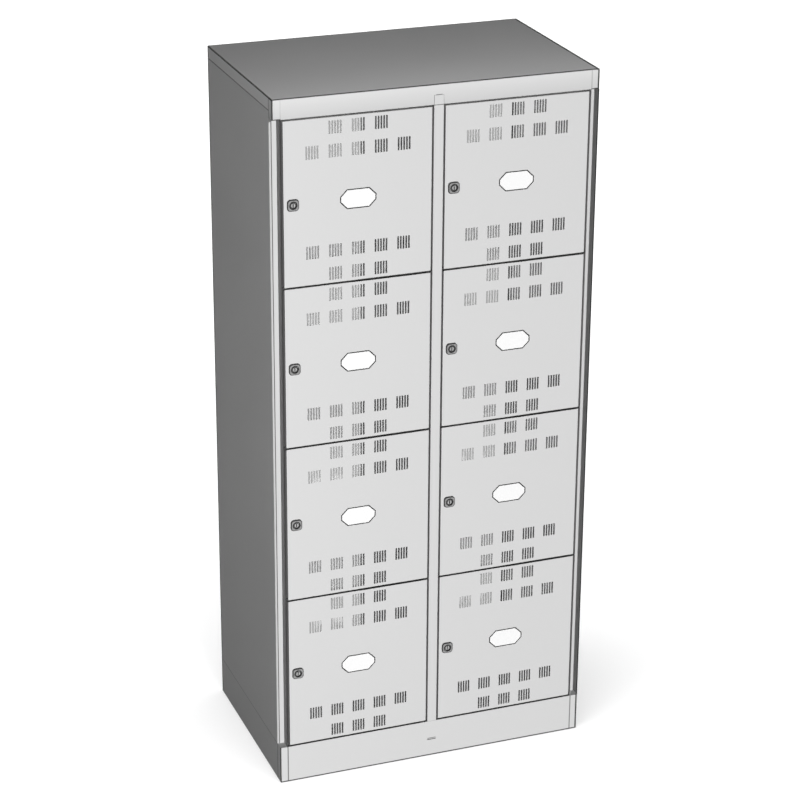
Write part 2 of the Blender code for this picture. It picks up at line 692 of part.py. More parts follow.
def lock_core_mesh():
    """Turning cylinder with a key slot in its face, a tail for the cam and the head that keeps the cam on."""
    face = -BEZEL_PROUD + CORE_FACE_DEPTH
    shoulder = CAM_SETBACK - SEAM
    head = CAM_SETBACK + CAM_THICKNESS + SEAM
    end = head + CORE_HEAD_THICKNESS
    profile = [(0, face), (CORE_RADIUS, face), (CORE_RADIUS, shoulder), (CORE_TAIL_RADIUS, shoulder),
               (CORE_TAIL_RADIUS, head), (CORE_HEAD_RADIUS, head), (CORE_HEAD_RADIUS, end), (0, end)]
    core = turned_mesh("lock_core", profile, ROUND_SIDES)
    low = (-KEYWAY_WIDTH / 2, face - OVERRUN, -KEYWAY_HEIGHT / 2)
    key = box_mesh("key", low, (KEYWAY_WIDTH / 2, face + KEYWAY_DEPTH, KEYWAY_HEIGHT / 2))
    return shade_round(boolean(core, [key], "DIFFERENCE"))


def lock_cam_mesh():
    """Latch tongue that hangs down at rest. It has a hole for the core's tail and a rounded tip."""
    half = CAM_WIDTH / 2
    shoulder = [(half * math.cos(math.pi * k / 8), half * math.sin(math.pi * k / 8)) for k in range(9)]
    tip = half / 2
    foot = [(-tip, -CAM_REACH), (tip, -CAM_REACH)]
    cheek = [(-half, -CAM_REACH + tip)]
    outline = shoulder + cheek + foot + [(half, -CAM_REACH + tip)]
    rear = CAM_SETBACK + CAM_THICKNESS
    plate = prism_mesh("lock_cam", outline, CAM_SETBACK, rear, "y")
    hole = prism_mesh("hole", regular_outline(ROUND_SIDES, CORE_TAIL_RADIUS + SEAM), CAM_SETBACK - OVERRUN,
                      rear + OVERRUN, "y")
    return boolean(plate, [hole], "DIFFERENCE")


def build_doors():
    """Eight doors. Each door's origin is on its hinge axis, and its lock's core and cam turn about
    the lock's axis."""
    centre_from_hinge = Vector((HINGE_INSET - DOOR_WIDTH / 2, -HINGE_INSET, 0))
    door = door_mesh()
    door.transform(Matrix.Translation(centre_from_hinge))
    label = label_mesh()
    body = lock_body_mesh()
    core = lock_core_mesh()
    cam = lock_cam_mesh()
    lock_place = centre_from_hinge + Vector((LOCK_INSET - DOOR_WIDTH / 2, 0, 0))
    for column, side in enumerate(("left", "right")):
        for row in range(1, ROWS + 1):
            tag = "%s_%d" % (side, row)
            middle = (door_line(ROWS - row) + door_line(ROWS - row + 1)) / 2
            pivot = (hinge_x(column), hinge_y(), middle)
            name = "door_" + tag
            panel = add_object(name, door, door_paint(name), pivot)
            name = "label_plate_" + tag
            add_object(name, label, label_plastic(name), centre_from_hinge, panel)
            name = "lock_body_" + tag
            add_object(name, body, bezel_metal(name), lock_place, panel)
            name = "lock_core_" + tag
            turning = add_object(name, core, core_metal(name), lock_place, panel)
            name = "lock_cam_" + tag
            add_object(name, cam, zinc_metal(name), (0, 0, 0), turning)


def main():
    clear_scene()
    build_top_cap()
    build_fascia()
    build_plinth_front()
    build_plinth_rear()
    build_side_panels()
    build_back_panel()
    build_floor_panel()
    build_stiles()
    build_center_post()
    build_center_partition()
    build_shelves()
    build_hinge_rods()
    build_doors()


main()
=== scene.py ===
import json
import math

import bmesh
import bpy
from mathutils import Matrix, Vector

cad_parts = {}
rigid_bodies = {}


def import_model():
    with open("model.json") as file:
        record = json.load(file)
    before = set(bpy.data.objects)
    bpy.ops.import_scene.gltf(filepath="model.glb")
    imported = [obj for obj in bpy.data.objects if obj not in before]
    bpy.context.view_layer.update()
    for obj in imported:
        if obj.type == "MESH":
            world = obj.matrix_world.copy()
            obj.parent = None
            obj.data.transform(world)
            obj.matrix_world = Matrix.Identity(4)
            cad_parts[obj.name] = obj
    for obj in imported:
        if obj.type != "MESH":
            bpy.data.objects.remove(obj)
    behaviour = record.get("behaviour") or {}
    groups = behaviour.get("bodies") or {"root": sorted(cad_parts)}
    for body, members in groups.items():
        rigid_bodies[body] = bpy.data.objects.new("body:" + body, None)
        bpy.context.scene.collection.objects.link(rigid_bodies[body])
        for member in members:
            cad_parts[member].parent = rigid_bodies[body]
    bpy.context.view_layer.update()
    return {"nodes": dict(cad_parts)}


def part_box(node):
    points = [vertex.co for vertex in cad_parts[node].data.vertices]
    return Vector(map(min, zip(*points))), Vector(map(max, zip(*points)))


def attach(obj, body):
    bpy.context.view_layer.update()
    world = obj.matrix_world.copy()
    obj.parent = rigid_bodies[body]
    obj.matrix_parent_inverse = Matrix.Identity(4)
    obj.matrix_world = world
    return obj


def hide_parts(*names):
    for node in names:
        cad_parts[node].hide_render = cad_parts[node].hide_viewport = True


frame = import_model()
nodes = frame["nodes"]
print("locker: frame loaded,", len(nodes), "nodes")

# places read from the frame; the doors' edges give the walls and the post beside them
capLow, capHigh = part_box("top_cap")
fasciaLow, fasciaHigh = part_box("fascia")
plinthLow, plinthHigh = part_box("plinth_front")
baseLow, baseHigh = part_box("plinth_rear")
leftDoorLow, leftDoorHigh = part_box("door_left_1")
rightDoorLow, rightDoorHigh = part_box("door_right_1")

sheet = 0.001            # thickness of all the sheet
seam = 0.0003            # room between neighbouring sheets
reach = 0.002            # how far a cutter overruns
sideGap = 0.0043         # beside a door
leftGap = 0.0063         # the wider one on the left, where the wall stands back
front, channelRear, back = capLow.y, plinthHigh.y, capHigh.y
halfWidth, roof = capHigh.x, capHigh.z
boardTop = roof - sheet - seam
boardBottom = fasciaLow.z + 0.014
sillTop = plinthHigh.z
wallInner = rightDoorHigh.x + sideGap
wallOuter = wallInner + sheet
postHalf = rightDoorLow.x - sideGap
strikeFront = front + 0.0205
strikeRear = strikeFront + sheet
strikeEnd = wallInner - 0.013
postLipEnd = postHalf + 0.013
returnFront = back - 0.012
tags = [side + "_" + str(row) for side in ("left", "right") for row in range(1, 5)]
rowLines = [(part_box("door_left_" + str(row))[0].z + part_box("door_left_" + str(row + 1))[1].z) / 2 for row in (1, 2, 3)]


class Wire:
    # one socket of a material; maths on it adds Math nodes
    def __init__(self, finish, socket):
        self.finish = finish
        self.socket = socket

    def math(self, operation, first, second=None, clamp=False):
        values = {0: first} if second is None else {0: first, 1: second}
        return self.finish.node("ShaderNodeMath", {"operation": operation, "use_clamp": clamp}, values)

    def __add__(self, other):
        return self.math("ADD", self, other)

    def __radd__(self, other):
        return self.math("ADD", other, self)

    def __sub__(self, other):
        return self.math("SUBTRACT", self, other)

    def __rsub__(self, other):
        return self.math("SUBTRACT", other, self)

    def __mul__(self, other):
        return self.math("MULTIPLY", self, other)

    def __rmul__(self, other):
        return self.math("MULTIPLY", other, self)

    def __truediv__(self, other):
        return self.math("DIVIDE", self, other)

    def __rtruediv__(self, other):
        return self.math("DIVIDE", other, self)

    def size(self):
        return self.math("ABSOLUTE", self)

    def over(self, other):
        return self.math("MAXIMUM", self, other)

    def clamped(self):
        return self.math("ADD", self, 0.0, clamp=True)

    def fraction(self):
        return self.math("FRACT", self)


class Finish:
    # a material or a world being made, with one way to add a node
    def __init__(self, owner):
        owner.use_nodes = True
        self.owner = owner
        self.tree = owner.node_tree
        self.tree.nodes.clear()

    def node(self, kind, settings=None, sockets=None, output=0):
        made = self.tree.nodes.new(kind)
        for key, value in (settings or {}).items():
            setattr(made, key, value)
        for key, value in (sockets or {}).items():
            if isinstance(value, Wire):
                self.tree.links.new(value.socket, made.inputs[key])
            else:
                made.inputs[key].default_value = value
        return Wire(self, made.outputs[output]) if made.outputs else made

    def outputs(self, kind, names, sockets=None):
        made = self.node(kind, None, sockets).socket.node
        return [Wire(self, made.outputs[name]) for name in names]

    def noise(self, where, scale, detail=2.0, rough=0.5):
        return self.node("ShaderNodeTexNoise", {"noise_dimensions": "3D"},
                         {"Vector": where, "Scale": scale, "Detail": detail, "Roughness": rough})

    def mix(self, mask, first, second):
        return self.node("ShaderNodeMix", {"data_type": "RGBA", "clamp_factor": True},
                         {0: mask, 6: first, 7: second}, output=2)

    def shade(self, shader):
        kind = "ShaderNodeOutputWorld" if isinstance(self.owner, bpy.types.World) else "ShaderNodeOutputMaterial"
        self.node(kind, None, {"Surface": shader})
        return self.owner


def grey(level, share=1.0):
    # a neutral sRGB level from 0 to 255 as a linear colour
    value = level / 255
    value = value / 12.92 if value <= 0.04045 else ((value + 0.055) / 1.055) ** 2.4
    return (min(1.0, value * share),) * 3 + (1.0,)


def near(wire, value, width, soft=0.0006):
    # 1 within width of a plane, falling to 0 over the next soft metres
    return ((width + soft - (wire - value).size()) / soft).clamped()


def between(wire, low, high, soft=0.0004):
    return near(wire, (low + high) / 2, (high - low) / 2, soft)


def strongest(masks):
    made = masks[0]
    for mask in masks[1:]:
        made = made.over(mask)
    return made


def sideways(facing):
    # 1 on faces turned away from the front
    return (1.6 - facing[1].size() * 2.4).clamped()


def frontwards(facing):
    # 1 on faces that look to the front
    return (facing[1] * -4 - 2).clamped()


# the coat: light grey powder coat, with the thin dark lines that run along folds and seams
coat = {
    "grain": 850.0,           # powder texture, cells to the metre
    "grainHeight": 0.00006,
    "mottle": 5.0,            # broad unevenness of the coat
    "mottleDepth": 0.02,
    "roughness": 0.48,
    "gloss": 0.05,
    "lineTone": 38,
    "frontLine": 0.0012,      # half widths of the lines on the front, top and side faces
    "topLine": 0.0030,
    "sideLine": 0.0030,
    "seamLine": 0.0012,
    # the dark of the strike lips behind the gaps is painted shade
    "lipShadeTone": 60,
    "hemGlow": (0.07, 0.28),  # painted light on the hems: the dark level, and what the pale part has more
    "shadeEdges": (0.0095, -0.0125),    # where the painted light on the hems turns dark, from the middle of a left and a right door
}


def outerEdges(x, y, z):
    # the cabinet's outer folds
    atLeft = near(x, -halfWidth, coat["frontLine"])
    atFront = near(y, front, 0.0014)
    atTop = near(z, roof, 0.0018)
    atBack = near(y, back, coat["topLine"])
    atFoot = near(z, 0.0, 0.0018)
    return [
        near(x, -halfWidth, 0.0018) * near(y, front, coat["sideLine"]) * 0.95,
        near(x, halfWidth, 0.0044) * near(y, front, 0.0026) * 0.92,
        near(z, roof, 0.0012) * near(y, front, coat["topLine"] + 0.0014) * 0.95,
        near(x, -halfWidth, 0.0022) * near(z, roof, 0.0026) * 0.97,
        atTop * near(x, halfWidth, 0.0072) * 0.95,
        atTop * near(y, back, 0.0060) * 0.80,
        atLeft * near(y, back, 0.0070) * 0.95,
        near(z, 0.0, 0.0030) * atFront * 0.92,
        atFoot * atLeft * 0.75,
    ]


def capMarks(x, y, z, facing):
    onSide = near(x, -halfWidth, 0.0008).over(near(x, halfWidth, 0.0008))
    skirt = near(z, capLow.z, 0.0014) * onSide * 0.65
    joint = near(y, channelRear, 0.0020) * onSide * near(z, capLow.z, roof - capLow.z) * 0.50
    return [(strongest(outerEdges(x, y, z) + [skirt, joint]), coat["lineTone"])]


def baseMarks(x, y, z, facing):
    onSide = near(x, -halfWidth, 0.0008).over(near(x, halfWidth, 0.0008))
    shoulder = near(z, sillTop, 0.0012) * onSide * 0.35
    joint = near(y, channelRear, 0.0020) * onSide * 0.45
    return [(strongest(outerEdges(x, y, z) + [shoulder, joint]), coat["lineTone"])]


def sidePanelMarks(x, y, z, facing):
    # the raw front edge, and on the right painted shade on the inner face that stands down in the channel
    rear = near(y, returnFront, 0.0016) * near(x, -halfWidth, 0.0004) * 0.30
    top = near(z, capLow.z, 0.0014) * 0.65
    foot = near(z, sillTop, 0.0012) * 0.35
    edge = near(y, front, 0.0012) * 0.92
    onInner = near(x, halfWidth - sheet, 0.0003, 0.0003)
    inner = between(y, front, channelRear) * onInner * 0.80
    lip = near(y, front, 0.0040) * onInner * 0.85
    # painted shadow of the board's return at the top of the left side's front edge
    corner = near(y, channelRear, 0.0006) * near(x, -halfWidth, 0.0014) * ((z - boardBottom + 0.011) / 0.001).clamped()
    return [(inner, 108), (corner * 0.90, 95), (strongest([edge, lip, rear, top, foot]), coat["lineTone"])]


def boardMarks(x, y, z, facing, strengths):
    # fascia and plinth: hairline joints near both ends
    onFace = near(y, front, 0.0008)
    joints = strongest([near(x, -wallOuter, coat["seamLine"]) * strengths[0],
                        near(x, wallOuter, coat["seamLine"]) * strengths[1]]) * onFace
    rear = near(y, channelRear, 0.0020) * near(x, -halfWidth, 0.0008) * 0.60
    return [(strongest([joints, rear] + outerEdges(x, y, z)), coat["lineTone"])]


def fasciaMarks(x, y, z, facing):
    # painted shade makes the board a little darker towards its lower edge, where the tongue of the post comes up into
    # it
    shade = ((boardTop - z) / (boardTop - boardBottom)).clamped() * 0.60
    tongue = strongest([
        near(x, -0.0115, 0.0008) * between(z, boardBottom, boardBottom + 0.0231) * 0.34,
        near(x, 0.0115, 0.0006) * between(z, boardBottom, boardBottom + 0.0231) * 0.12,
        near(z, boardBottom + 0.0229, 0.0012) * near(x, 0.0, 0.0075) * 0.75,
    ]) * near(y, front, 0.0008)
    # its lower edge shows as a line in front of the webs
    under = near(z, boardBottom, 0.0024) * near(y, front, 0.0020) * (1 - between(x, -wallInner, wallInner)) * 0.90
    foot = near(z, boardBottom, 0.0016) * near(x, -halfWidth, 0.0008) * 0.80
    return [(shade, 196), (strongest([tongue, under, foot]), coat["lineTone"])] + boardMarks(x, y, z, facing, (0.10, 0.24))


def plinthMarks(x, y, z, facing):
    hook = near(z, post["hookLevel"], 0.0025) * near(x, 0.0, 0.0105) * near(y, front, 0.0008) * 0.92
    # painted shade on the sill just behind the lowest doors
    sill = near(z, sillTop, 0.0010) * between(y, front + 0.001, front + 0.007) * between(x, -wallInner, wallInner)
    return [(hook, coat["lineTone"]), (sill * 0.85, 60)] + boardMarks(x, y, z, facing, (0.65, 0.63))


def stileMarks(x, y, z, facing, wallShadeShare, edgeShare):
    # painted shade on the walls and strike lips that stand in the gaps beside the doors
    walls = sideways(facing) * between(y, front, channelRear) * wallShadeShare
    lips = near(y, strikeFront + sheet / 2, 0.0012) * 0.9
    edge = near(y, front, 0.0012) * edgeShare
    return [(walls, 110), (lips, coat["lipShadeTone"]), (edge, 55)]


def tabMarks(x, y, wall):
    # painted shade on the welded plates in the gaps between the doors
    return between(x, wall - tab["reach"] - reach, wall - 0.0012) * between(y, front, strikeFront - 0.002) * 0.90


def leftStileMarks(x, y, z, facing):
    # the edge of the side sheet's return shows as a hairline on the web
    lap = near(x, -halfWidth + 0.0052, 0.0008) * near(y, channelRear, 0.0006) * 0.85
    # painted shadow of the board's return on the top of the web
    onWeb = near(y, channelRear, 0.0030) * between(x, -halfWidth, -wallOuter)
    shade = ((z - boardBottom + 0.011 - (x + halfWidth) * 0.45) / 0.001).clamped() * onWeb * 0.90
    return stileMarks(x, y, z, facing, 0.62, 0.90) + [(lap, coat["lineTone"]), (shade, 95)]


def rightStileMarks(x, y, z, facing):
    return stileMarks(x, y, z, facing, 0.25, 0.20) + [(tabMarks(x, y, wallInner), 45)]


def postMarks(x, y, z, facing):
    # painted shade on the returns, strike lips and tabs in the gaps beside the doors
    returns = sideways(facing) * between(y, front, channelRear) * 0.5
    lips = near(y, strikeFront + sheet / 2, 0.0012) * 0.9
    crease = near(z, boardBottom - seam, 0.0008) * near(y, front, 0.0008) * 0.6
    return [(returns, 85), (lips, coat["lipShadeTone"]), (crease, coat["lineTone"]), (tabMarks(x, y, -postHalf), 45)]


def doorMarks(x, y, z, facing):
    # painted shade along the folds round the pan, deeper in the gaps between rows, on the cut edges of its openings
    # and on the hems
    pitch = rowLines[0] - rowLines[1]
    fromLine = (((z - rowLines[0]) / pitch + 0.5).fraction() - 0.5) * pitch
    outline = strongest([near(x.size(), rightDoorLow.x, 0.004), near(x.size(), rightDoorHigh.x, 0.004),
                         near(fromLine, 0.0, 0.006)])
    # the painted shade lines between the rows are a little wider on the right half of a door
    across = ((x - leftDoorLow.x) / (rightDoorLow.x - leftDoorLow.x)).fraction()
    rowGapShade = near(fromLine, 0.0, ((across - 0.40) / 0.10).clamped() * 0.0007 + 0.0018)
    rowGapShade = rowGapShade * near(y, front, 0.0014) * between(z, rowLines[2] - 0.05, rowLines[0] + 0.05)
    topLine = near(z, leftDoorHigh.z, 0.004)
    deep = near(fromLine, 0.0, 0.006) * (1 - topLine)
    folds = sideways(facing) * near(y, front, 0.0038, 0.0012).over(near(y, front, 0.0075) * deep) * outline
    edges = sideways(facing) * near(y, front, 0.0014) * (1 - outline)
    return [(folds * (0.90 - topLine * 0.72), 45), (edges * 0.55, 80), (rowGapShade * 0.85, 45), (hemFaces(y, facing), 60)]


def backMarks(x, y, z, facing):
    # the edges of its side returns and the fold behind them
    onSide = near(x, -halfWidth, 0.0008).over(near(x, halfWidth, 0.0008))
    rear = near(y, returnFront, 0.0016) * 0.30
    top = near(z, capLow.z, 0.0014) * 0.65
    foot = near(z, sillTop, 0.0012) * 0.35
    fold = near(y, back, 0.0070) * 0.95
    # painted shade on the back sheet's inner face
    lining = frontwards(facing) * near(x, 0.0, halfWidth - 0.0015)
    return [(lining, inner["liningShadeTone"]), (strongest([rear, top, foot, fold]) * onSide, coat["lineTone"])]


def shelfMarks(x, y, z, facing):
    # painted shade on the front lip behind the gaps
    return [(near(y, strikeFront + sheet / 2, 0.0012) * 0.8, 130)]


def hemFaces(y, facing):
    # the front sides of the hems, which show through the lowest vents
    return ((y - (front + 0.012)) / 0.001).clamped() * frontwards(facing)


def hemGlow(x, y, z, facing):
    # painted light: the hems glow as pale as the back sheet on the left of each door, and dark on the right and in the
    # lowest doors
    middle = (rightDoorLow.x + rightDoorHigh.x) / 2
    left = between(x, leftDoorLow.x, coat["shadeEdges"][0] - middle)
    left = left.over(between(x, 0.0, coat["shadeEdges"][1] + middle))
    pale = left * ((z - rowLines[2]) / 0.01).clamped()
    return hemFaces(y, facing) * (coat["hemGlow"][0] + pale * coat["hemGlow"][1])


def coatedSteel(name, level, marks=None, paintedLight=None):
    finish = Finish(bpy.data.materials.new(name))
    where, normal = finish.outputs("ShaderNodeTexCoord", ("Object", "Normal"))
    grain = finish.noise(where, coat["grain"], 2.0, 0.55)
    mottle = finish.noise(where, coat["mottle"], 3.0, 0.5)
    speckle = finish.noise(where, coat["grain"] * 0.6, 0.0)
    shift = (mottle - 0.5) * coat["mottleDepth"] + (speckle - 0.5) * 0.03
    paint = finish.mix((shift * 2.5 + 0.5).clamped(), grey(level, 0.9), grey(level, 1.1))
    if marks:
        x, y, z = finish.outputs("ShaderNodeSeparateXYZ", (0, 1, 2), {0: where})
        facing = finish.outputs("ShaderNodeSeparateXYZ", (0, 1, 2), {0: normal})
        for mask, tone in marks(x, y, z, facing):
            paint = finish.mix(mask, paint, grey(tone))
    rough = coat["roughness"] + (mottle - 0.5) * 0.12 + (grain - 0.5) * 0.10
    bump = finish.node("ShaderNodeBump", None,
                       {"Strength": 0.35, "Distance": coat["grainHeight"], "Height": grain})
    sockets = {"Base Color": paint, "Roughness": rough, "Normal": bump, "Specular IOR Level": coat["gloss"]}
    # painted light: a glow on a part that is no lamp
    if paintedLight:
        sockets["Emission Color"] = finish.mix(paintedLight(x, y, z, facing), grey(0), grey(255))
        sockets["Emission Strength"] = 1.0
    return finish.shade(finish.node("ShaderNodeBsdfPrincipled", None, sockets))


def labelCard(name):
    finish = Finish(bpy.data.materials.new(name))
    where, normal = finish.outputs("ShaderNodeTexCoord", ("Object", "Normal"))
    y = finish.outputs("ShaderNodeSeparateXYZ", (1,), {0: where})[0]
    facing = finish.outputs("ShaderNodeSeparateXYZ", (0, 1, 2), {0: normal})
    fibre = finish.noise(where, 420.0, 3.0, 0.6)
    # painted shadow: the flange behind the cut-out is painted dark for the shade it lies in
    rim = ((y - (front + 0.0004)) / 0.0002).clamped() * ((front + sheet + seam + 0.0004 - y) / 0.0002).clamped()
    rim = rim * frontwards(facing).over(sideways(facing))
    colour = finish.mix(rim, finish.mix(fibre, grey(250), grey(255)), grey(30))
    bump = finish.node("ShaderNodeBump", None, {"Strength": 0.2, "Distance": 0.00004, "Height": fibre})
    shader = finish.node("ShaderNodeBsdfPrincipled", None,
                         {"Base Color": colour, "Roughness": 0.5 + (fibre - 0.5) * 0.1, "Normal": bump,
                          "Specular IOR Level": 0.3})
    return finish.shade(shader)


def castMetal(name, level, metallic, rough, scratch):
    finish = Finish(bpy.data.materials.new(name))
    where = finish.node("ShaderNodeTexCoord", output=3)
    cloud = finish.noise(where, 180.0, 4.0, 0.6)
    fine = finish.noise(where, 1600.0, 2.0, 0.5)
    tone = finish.mix(cloud, grey(level, 0.82), grey(level))
    bump = finish.node("ShaderNodeBump", None, {"Strength": scratch, "Distance": 0.00003, "Height": fine})
    shader = finish.node("ShaderNodeBsdfPrincipled", None,
                         {"Base Color": tone, "Metallic": metallic,
                          "Roughness": rough + (cloud - 0.5) * 0.15, "Normal": bump})
    return finish.shade(shader)


def pieceOf(name, bm, finish=None):
    bmesh.ops.recalc_face_normals(bm, faces=bm.faces)
    mesh = bpy.data.meshes.new(name)
    bm.to_mesh(mesh)
    bm.free()
    return standing(name, mesh, finish)


def standing(name, mesh, finish=None):
    piece = bpy.data.objects.new(name, mesh)
    bpy.context.scene.collection.objects.link(piece)
    if finish:
        mesh.materials.clear()
        mesh.materials.append(finish)
    return piece


def moved(piece, offset):
    piece.data.transform(Matrix.Translation(offset))
    return piece


def settled(piece):
    # the piece with its modifiers applied
    graph = bpy.context.evaluated_depsgraph_get()
    mesh = bpy.data.meshes.new_from_object(piece.evaluated_get(graph))
    old = piece.data
    piece.modifiers.clear()
    piece.data = mesh
    bpy.data.meshes.remove(old)
    return piece


def boxMesh(low, high):
    bm = bmesh.new()
    low, high = Vector(low), Vector(high)
    bmesh.ops.create_cube(bm, size=1, matrix=Matrix.Translation((low + high) / 2)
                          @ Matrix.Diagonal((*(high - low), 1)))
    return bm


def block(low, high):
    return pieceOf("block", boxMesh(low, high))


def extruded(outline, low, high, axis="y"):
    place = {"x": lambda u, v, w: (w, u, v), "y": lambda u, v, w: (u, w, v), "z": lambda u, v, w: (u, v, w)}[axis]
    bm = bmesh.new()
    face = bm.faces.new([bm.verts.new(place(u, v, low)) for u, v in outline])
    far = bmesh.ops.extrude_face_region(bm, geom=[face])["geom"]
    bmesh.ops.translate(bm, verts=[g for g in far if isinstance(g, bmesh.types.BMVert)],
                        vec=place(0, 0, high - low))
    return pieceOf("extruded", bm)


def combine(piece, tools, operation):
    for tool in tools:
        step = piece.modifiers.new("step", "BOOLEAN")
        step.solver = "EXACT"
        step.operation = operation
        step.object = tool
    settled(piece)
    for tool in tools:
        bpy.data.objects.remove(tool, do_unlink=True)
    return piece


def gathered(pieces):
    # several separate solids as one cutter
    bm = bmesh.new()
    for piece in pieces:
        bm.from_mesh(piece.data)
        bpy.data.objects.remove(piece, do_unlink=True)
    return pieceOf("gathered", bm)


def foldedShell(low, high, openSides, fold, steps=4):
    # a box of folded sheet: rounded folds, the open sides left off, and the sheet's thickness turned inwards
    bm = boxMesh(low, high)
    bmesh.ops.recalc_face_normals(bm, faces=bm.faces)
    opened = [f for f in bm.faces if any((f.normal - Vector(side)).length < 0.01 for side in openSides)]
    bmesh.ops.delete(bm, geom=opened, context="FACES")
    folds = [e for e in bm.edges if len(e.link_faces) == 2]
    bmesh.ops.bevel(bm, geom=folds, offset=fold, offset_type="OFFSET", segments=steps, profile=0.5,
                    affect="EDGES")
    mesh = bpy.data.meshes.new("shell")
    bm.to_mesh(mesh)
    bm.free()
    piece = standing("shell", mesh)
    thick = piece.modifiers.new("sheet", "SOLIDIFY")
    thick.thickness = sheet
    thick.offset = -1
    thick.use_even_offset = True
    return settled(piece)


def turned(profile, sides, upright=False):
    # a closed profile of (radius, place along the axis), turned about the y axis, or about z
    bm = bmesh.new()
    axis = (0, 0, 1) if upright else (0, 1, 0)
    verts = [bm.verts.new((radius, 0, along) if upright else (radius, along, 0)) for radius, along in profile]
    edges = [bm.edges.new(pair) for pair in zip(verts, verts[1:])]
    bmesh.ops.spin(bm, geom=verts + edges, cent=(0, 0, 0), axis=axis, angle=math.tau, steps=sides, use_merge=True)
    bmesh.ops.remove_doubles(bm, verts=bm.verts, dist=0.00002)
    return pieceOf("turned", bm)


def rounded(points, steps=4):
    # an outline whose corners (u, v, radius) are turned into arcs
    made = []
    count = len(points)
    for index, (u, v, radius) in enumerate(points):
        if radius <= 0:
            made.append((u, v))
            continue
        here = Vector((u, v))
        before = (Vector(points[index - 1][:2]) - here).normalized()
        after = (Vector(points[(index + 1) % count][:2]) - here).normalized()
        half = before.angle(after) / 2
        middle = here + (before + after).normalized() * (radius / math.sin(half))
        start = here + before * (radius / math.tan(half)) - middle
        end = here + after * (radius / math.tan(half)) - middle
        for step in range(steps + 1):
            way = start.slerp(end, step / steps).normalized() * radius + middle
            made.append((way.x, way.y))
    return made


def foldedStrip(path, fold, steps=4):
    # a bent sheet seen end-on: the path runs along one face and the sheet lies to its left
    points = [Vector(point) for point in path]
    face, twin = [], []
    for index, point in enumerate(points):
        before = (point - points[index - 1]).normalized() if index else None
        after = (points[index + 1] - point).normalized() if index + 1 < len(points) else None
        sides = [Vector((-way.y, way.x)) for way in (before, after) if way]
        if len(sides) == 1:
            face.append((*point, 0))
            twin.append((*(point + sides[0] * sheet), 0))
            continue
        corner = point + (sides[0] + sides[1]) / (1 + sides[0].dot(sides[1])) * sheet
        turnsLeft = before.x * after.y - before.y * after.x > 0
        radii = (fold, fold - sheet) if turnsLeft else (fold - sheet, fold)
        face.append((*point, radii[0]))
        twin.append((*corner, radii[1]))
    return rounded(face + twin[::-1], steps)


def octagon(width, height, chamfer, radius=0.0):
    u, v = width / 2, height / 2
    corners = [(-u + chamfer, -v), (u - chamfer, -v), (u, -v + chamfer), (u, v - chamfer),
               (u - chamfer, v), (-u + chamfer, v), (-u, v - chamfer), (-u, -v + chamfer)]
    return rounded([(a, b, radius) for a, b in corners], 2)


def circle(radius, sides, u=0.0, v=0.0):
    return [(u + radius * math.cos(math.tau * k / sides), v + radius * math.sin(math.tau * k / sides))
            for k in range(sides)]


def smoothTurns(piece, angle=32):
    for face in piece.data.polygons:
        face.use_smooth = True
    piece.data.set_sharp_from_angle(angle=math.radians(angle))
    return piece


def carried(node, finish):
    # a frame node that keeps its own shape and gets a finish
    item = nodes[node]
    item.data.materials.clear()
    item.data.materials.append(finish)


def stands(piece, name, finishes, body, slotName, *cadNodes):
    # a finer piece in the place of frame nodes; its faces keep the numbers of their finishes
    mesh = piece.data
    piece.name = mesh.name = name
    numbers = [face.material_index for face in mesh.polygons]
    mesh.materials.clear()
    for finish in finishes:
        mesh.materials.append(finish)
    for face, number in zip(mesh.polygons, numbers):
        face.material_index = number
    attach(piece, body)
    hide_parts(*cadNodes)
    return piece


# doors: folded pans with vents, label window, lock hole and the holes for the hinge rod
door = {
    "depth": 0.018,
    "hem": 0.010,
    "fold": 0.0016,
    "slot": (0.0041, 0.0310),
    "slotCorner": 0.0006,
    "slotPitch": 0.0067,
    "slotsInGroup": 5,
    "groupPitch": 0.0555,
    "rows": ((0.1745, 3), (0.1190, 5), (-0.1190, 5), (-0.1745, 3)),
    "window": (0.0881, 0.0476, 0.0168),
    "lockInset": 0.022,
    "lockHole": 0.0093,
    "hingeInset": 0.0065,
    "rodHole": 0.0029,
    "tone": 218,
}
doorCoat = coatedSteel("lightGreyDoorCoat", door["tone"], doorMarks, hemGlow)
hingeX = [high.x - door["hingeInset"] for high in (leftDoorHigh, rightDoorHigh)]
hingeY = front + door["hingeInset"]


def slotCutters():
    width, height = door["slot"]
    u, v, r = width / 2, height / 2, door["slotCorner"]
    outline = rounded([(-u, -v, r), (u, -v, r), (u, v, r), (-u, v, r)], 2)
    cutters = []
    for level, groups in door["rows"]:
        for group in range(groups):
            for slot in range(door["slotsInGroup"]):
                middle = (group - (groups - 1) / 2) * door["groupPitch"]
                x = middle + (slot - (door["slotsInGroup"] - 1) / 2) * door["slotPitch"]
                cutters.append(extruded([(a + x, b + level) for a, b in outline], -reach, sheet + reach))
    return gathered(cutters)


def rodHole(x, y, z):
    return moved(extruded(circle(door["rodHole"], 20), -reach, reach, "z"), (x, y, z))


def makeDoorPan():
    u, v = (leftDoorHigh.x - leftDoorLow.x) / 2, (leftDoorHigh.z - leftDoorLow.z) / 2
    pan = foldedShell((-u, 0, -v), (u, door["depth"], v), [], door["fold"])
    inset = sheet + door["hem"]
    mouth = block((-u + inset, door["depth"] - 2 * sheet, -v + inset), (u - inset, door["depth"] + reach, v - inset))
    window = extruded(octagon(*door["window"], 0.0015), -reach, sheet + reach)
    lockHole = extruded(circle(door["lockHole"], 40, door["lockInset"] - u), -reach, sheet + reach)
    rods = [rodHole(u - door["hingeInset"], door["hingeInset"], side * (v - sheet / 2)) for side in (-1, 1)]
    return combine(pan, [slotCutters(), mouth, window, lockHole] + rods, "DIFFERENCE")


